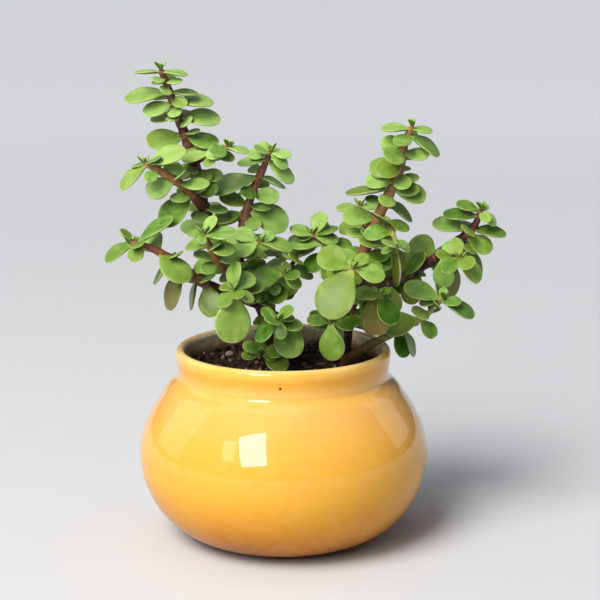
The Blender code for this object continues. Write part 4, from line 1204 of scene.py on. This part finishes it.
def leaf_skin(name, deep, fresh, underside_shade):
    """The waxy skin of a leaf between a deep and a fresh green, with painted shade, sheen and rim highlight.
    """
    material, tree, shader = new_material(
        name, Subsurface_Weight=0.15, Subsurface_Scale=LIGHT_IN_LEAF, Subsurface_Radius=(0.5, 0.9, 0.2),
        Coat_Roughness=0.28, IOR=1.45, Specular_IOR_Level=0.25,
    )
    place = object_coordinates(tree)
    blade = add_node(tree, "ShaderNodeAttribute", attribute_name="blade").outputs["Vector"]
    looks = add_node(tree, "ShaderNodeAttribute", attribute_name="looks").outputs["Vector"]
    side, along, up = add_node(tree, "ShaderNodeSeparateXYZ", {0: blade}).outputs
    shade, brown, yellow = add_node(tree, "ShaderNodeSeparateXYZ", {0: looks}).outputs
    clouds = use_group(tree, clouding, place, Scale=230.0, Contrast=0.25)["Mask"]
    cells = use_group(tree, grain, place, Scale=2300.0, Size=0.5)
    drifted = maths(tree, "ADD", shade, spread(tree, clouds, 0.0, 1.0, -0.14, 0.14, smooth=False))
    colour = blend(tree, drifted, deep, fresh)
    colour = blend(tree, spread(tree, yellow, 0.3, 1.0, 0.0, 0.30), colour, rgb(0.36, 0.44, 0.055))
    # Painted shade: the underside darkens towards a deep shaded green.
    colour = blend(tree, spread(tree, up, 0.15, -0.5, 0.0, 0.75), colour, underside_shade)
    # Painted sheen: the upper faces of the paler, higher leaves turn a pale grey green.
    painted_sheen = maths(tree, "MULTIPLY", spread(tree, up, -0.1, 0.6), spread(tree, drifted, 0.30, 0.90, 0.0, 0.42))
    colour = blend(tree, painted_sheen, colour, rgb(0.47, 0.68, 0.24))
    middle = spread(tree, maths(tree, "ABSOLUTE", side), 0.0, 0.42, 0.14, 0.0)
    colour = blend(tree, middle, colour, deep)
    # Painted highlight: a pale line along the rim where the two faces meet and round the tip, fading towards
    # the stalk.
    edge = spread(tree, maths(tree, "ABSOLUTE", side), 0.90, 0.99)
    edge = maths(tree, "MAXIMUM", edge, spread(tree, along, 0.955, 0.995))
    edge = maths(tree, "MULTIPLY", edge, spread(tree, along, 0.22, 0.45, 0.0, 0.70))
    colour = blend(tree, edge, colour, rgb(0.55, 0.62, 0.26))
    stalk = spread(tree, along, 0.24, 0.06, 0.0, 0.65)
    colour = blend(tree, stalk, colour, rgb(0.42, 0.44, 0.13))
    ageing = maths(tree, "ADD", spread(tree, clouds, 0.0, 1.0, 0.1, 0.6), maths(tree, "MULTIPLY", along, 0.7))
    colour = blend(tree, maths(tree, "MULTIPLY", brown, ageing), colour, rgb(0.17, 0.085, 0.018))
    tree.links.new(colour, shader.inputs["Base Color"])
    tree.links.new(spread(tree, clouds, 0.0, 1.0, 0.34, 0.46), shader.inputs["Roughness"])
    tree.links.new(spread(tree, up, -0.4, 0.4, 0.05, 0.45), shader.inputs["Coat Weight"])
    bump(tree, shader, cells["Height"], 0.10, 0.00012)
    return material


# The underside's green, darker than the face as painted shade.
SHADED_UNDERSIDE = rgb(0.026, 0.070, 0.001)
skins = {
    "left_stem": leaf_skin("left_leaf_skin", rgb(0.026, 0.098, 0.001), rgb(0.31, 0.56, 0.090), SHADED_UNDERSIDE),
    "right_stem": leaf_skin("right_leaf_skin", rgb(0.021, 0.084, 0.001), rgb(0.28, 0.52, 0.060), SHADED_UNDERSIDE),
    "low_sprig": leaf_skin("sprig_leaf_skin", rgb(0.050, 0.165, 0.010), rgb(0.32, 0.54, 0.110), SHADED_UNDERSIDE),
}
for plant, piece in foliage.items():
    piece.data.materials.append(skins[plant])
    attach(piece, "root")
    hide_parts(plant)
print("leaf skins:", [skin.name for skin in skins.values()])

# %% [markdown]
# ## The wood
# Young shoots are smooth and maroon, older ones red-brown, and the trunks dark with wrinkled
# bark. A joint swells wherever a pair of leaves grew. Each stem is a row of circles along its
# route, bridged one to the next, which keeps full control of the radius at every ring: a curve
# with a bevel would be quicker, but it can't carry a colour for each ring.

# %% Stem tubes
RING_STEP = 1.3
RING_SIDES = 14
JOINT_SWELL = 0.16
JOINT_REACH = 0.95
# The root's colour holds up to one share of a stem's length, and the tip's colour from another
RIPE_FROM = 0.20
RIPE_TO = 0.70
OLD_BARK = (0.060, 0.034, 0.022)
MAROON = (0.105, 0.020, 0.018)
RED_BROWN = (0.21, 0.070, 0.034)
ORANGE_BROWN = (0.36, 0.155, 0.055)
GREEN_WOOD = (0.30, 0.36, 0.09)
STEM_COLOURS = {
    "leader": (OLD_BARK, MAROON), "second": (MAROON, RED_BROWN), "upper_left": (MAROON, ORANGE_BROWN),
    "upper_right": (MAROON, ORANGE_BROWN), "low_left": (OLD_BARK, RED_BROWN),
    "front_left": (RED_BROWN, ORANGE_BROWN), "right_leader": (OLD_BARK, ORANGE_BROWN),
    "far_right": (OLD_BARK, MAROON), "big_leaf": (RED_BROWN, MAROON),
    "drooping": (ORANGE_BROWN, GREEN_WOOD), "low_sprig": (RED_BROWN, GREEN_WOOD),
}


def stem_rings(stem, joints):
    """Rings along a stem: (middle, radius, direction, share, how near a joint is)."""
    length = stem_length(stem)
    count = max(4, round(length / RING_STEP))
    rows = along_route(stem.route, np.linspace(0, 1, count + 1)).T
    rings = []
    for index, (x, y, z, radius) in enumerate(rows):
        ahead = rows[min(index + 1, count), :3] - rows[max(index - 1, 0), :3]
        middle = np.array([x, y, z])
        gaps = [np.linalg.norm(middle - joint) for joint in joints]
        near = max((math.exp(-(gap / JOINT_REACH) ** 2) for gap in gaps), default=0.0)
        rough = 1 + 0.07 * noise.noise(Vector((x, y, z)) * 0.35) * min(1.0, radius / 2)
        rings.append((middle, radius * rough * (1 + JOINT_SWELL * near), ahead, index / count, near))
    return rings


def add_stem(shape, layers, stem, joints):
    """Bridges circles along a stem's route and rounds its tip."""
    root_colour, tip_colour = STEM_COLOURS.get(stem.name, (OLD_BARK, RED_BROWN))
    rings = stem_rings(stem, joints)
    edges_before = None
    for index, (middle, radius, ahead, share, near) in enumerate(rings):
        turn = Vector(ahead).to_track_quat("Z", "Y").to_matrix().to_4x4()
        place = Matrix.Translation(Vector(middle) * MM) @ turn
        at_end = index in (0, len(rings) - 1)
        narrow = 0.55 if index == len(rings) - 1 else 1.0
        ring = bmesh.ops.create_circle(shape, cap_ends=at_end, segments=RING_SIDES,
                                       radius=radius * narrow * MM, matrix=place)["verts"]
        edges = list({edge for vertex in ring for edge in vertex.link_edges})
        ripe = min(1.0, max(0.0, (share - RIPE_FROM) / (RIPE_TO - RIPE_FROM)))
        for vertex in ring:
            vertex[layers["wood"]] = (*(between(r, t, ripe) for r, t in zip(root_colour, tip_colour)), 1)
            vertex[layers["joint"]] = near
        if edges_before:
            bmesh.ops.bridge_loops(shape, edges=edges_before + edges)
        edges_before = edges


def woody_piece(name, plant):
    """All stems of one plant as one piece."""
    shape = bmesh.new()
    layers = {
        "wood": shape.verts.layers.float_color.new("wood"),
        "joint": shape.verts.layers.float.new("joint"),
    }
    for stem in PLANTS[plant]:
        joints = [leaf.base + leaf.along * ROOT_SUNK for leaf in leaves[plant] if leaf.stem == stem.name]
        add_stem(shape, layers, stem, joints)
    bmesh.ops.recalc_face_normals(shape, faces=shape.faces)
    piece = add_object(name, shape)
    piece.data.shade_smooth()
    return piece


wood = {
    "left_stem": woody_piece("left_wood", "left_stem"),
    "right_stem": woody_piece("right_wood", "right_stem"),
    "low_sprig": woody_piece("sprig_wood", "low_sprig"),
}
for piece in wood.values():
    print(f"{piece.name}: {len(piece.data.polygons)} faces")

# %% Bark
bark, tree, shader = new_material("bark", IOR=1.45)
place = object_coordinates(tree)
skin = add_node(tree, "ShaderNodeAttribute", attribute_name="wood").outputs["Color"]
joint = add_node(tree, "ShaderNodeAttribute", attribute_name="joint").outputs["Fac"]
clouds = use_group(tree, clouding, place, Scale=420.0, Contrast=0.25)["Mask"]
wrinkles = use_group(tree, grain, place, Scale=900.0, Size=0.5)
colour = blend(tree, spread(tree, clouds, 0.0, 1.0, 0.0, 0.45), skin, rgb(0.035, 0.016, 0.011))
colour = blend(tree, spread(tree, joint, 0.35, 1.0, 0.0, 0.35), colour, rgb(0.40, 0.22, 0.09))
colour = blend(tree, maths(tree, "MULTIPLY", wrinkles["Specks"], 0.16), colour, rgb(0.45, 0.30, 0.18))
tree.links.new(colour, shader.inputs["Base Color"])
tree.links.new(spread(tree, clouds, 0.0, 1.0, 0.45, 0.68), shader.inputs["Roughness"])
bump(tree, shader, wrinkles["Height"], 0.35, 0.00035)
for plant, piece in wood.items():
    piece.data.materials.append(bark)
    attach(piece, "root")
    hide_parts(plant)
print("bark: one material, coloured ring by ring")

# %% [markdown]
# ## What lies on the soil
# A beige pebble and a dry fallen leaf lie at the left of the mouth. The pebble is an icosphere
# pushed about by noise. The leaf is a bare outline curled up at its rim.

# %% Pebble and fallen leaf
PEBBLE_PLACE = (-23.7, 14.3)
PEBBLE_SIZE = (2.3, 1.6, 1.2)
FALLEN_PLACE = (-16.6, 7.8)
FALLEN_LENGTH = 7.5

stone = bmesh.new()
bmesh.ops.create_icosphere(stone, subdivisions=3, radius=1)
for vertex in stone.verts:
    vertex.co *= 1 + 0.16 * noise.noise(vertex.co * 1.3)
x, y = PEBBLE_PLACE
lie = Matrix.Translation(Vector((x, y, soil_top(x, y) + 0.6)) * MM) @ Matrix.Rotation(0.5, 4, "Z")
bmesh.ops.transform(stone, matrix=lie @ Matrix.Diagonal((*(Vector(PEBBLE_SIZE) * MM), 1)), verts=stone.verts)
pebble = add_object("pebble", stone)
pebble.data.shade_smooth()
pebble.data.materials.append(mottled_material(
    "beige_stone", patches=(600.0, 0.3), colours=(rgb(0.52, 0.40, 0.27), rgb(0.66, 0.56, 0.42)),
    grains=(3000.0, 0.4), specks=(0.4, rgb(0.28, 0.20, 0.13)), rough=(0.8, 0.8), relief=(0.4, 0.0002),
))

litter_leaf = bmesh.new()
bmesh.ops.create_grid(litter_leaf, x_segments=12, y_segments=8, size=1)
x, y = FALLEN_PLACE
for vertex in litter_leaf.verts:
    t = (vertex.co.x + 1) / 2
    side = vertex.co.y
    half = blade_width(max(0.04, t * 0.985)) * FALLEN_LENGTH * 0.33
    curl = 1.5 * side * side + 0.8 * (t - 0.5) ** 2 * 4
    vertex.co = Vector(((t - 0.5) * FALLEN_LENGTH, side * half, curl)) * MM
bmesh.ops.solidify(litter_leaf, geom=litter_leaf.faces, thickness=0.35 * MM)
lie = Matrix.Translation(Vector((x, y, soil_top(x, y) + 0.7)) * MM) @ Matrix.Rotation(-0.7, 4, "Z")
bmesh.ops.transform(litter_leaf, matrix=lie, verts=litter_leaf.verts)
bmesh.ops.recalc_face_normals(litter_leaf, faces=litter_leaf.faces)
fallen = add_object("fallen_leaf", litter_leaf)
fallen.data.shade_smooth()
fallen.data.materials.append(mottled_material(
    "dry_leaf", patches=(500.0, 0.25), colours=(rgb(0.16, 0.075, 0.030), rgb(0.38, 0.22, 0.09)),
    grains=(1500.0, 0.5), specks=(0.0, rgb(0.16, 0.075, 0.030)), rough=(0.75, 0.75), relief=(0.5, 0.0002),
))
for piece in (pebble, fallen):
    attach(piece, "root")
print("on the soil:", pebble.name, fallen.name)
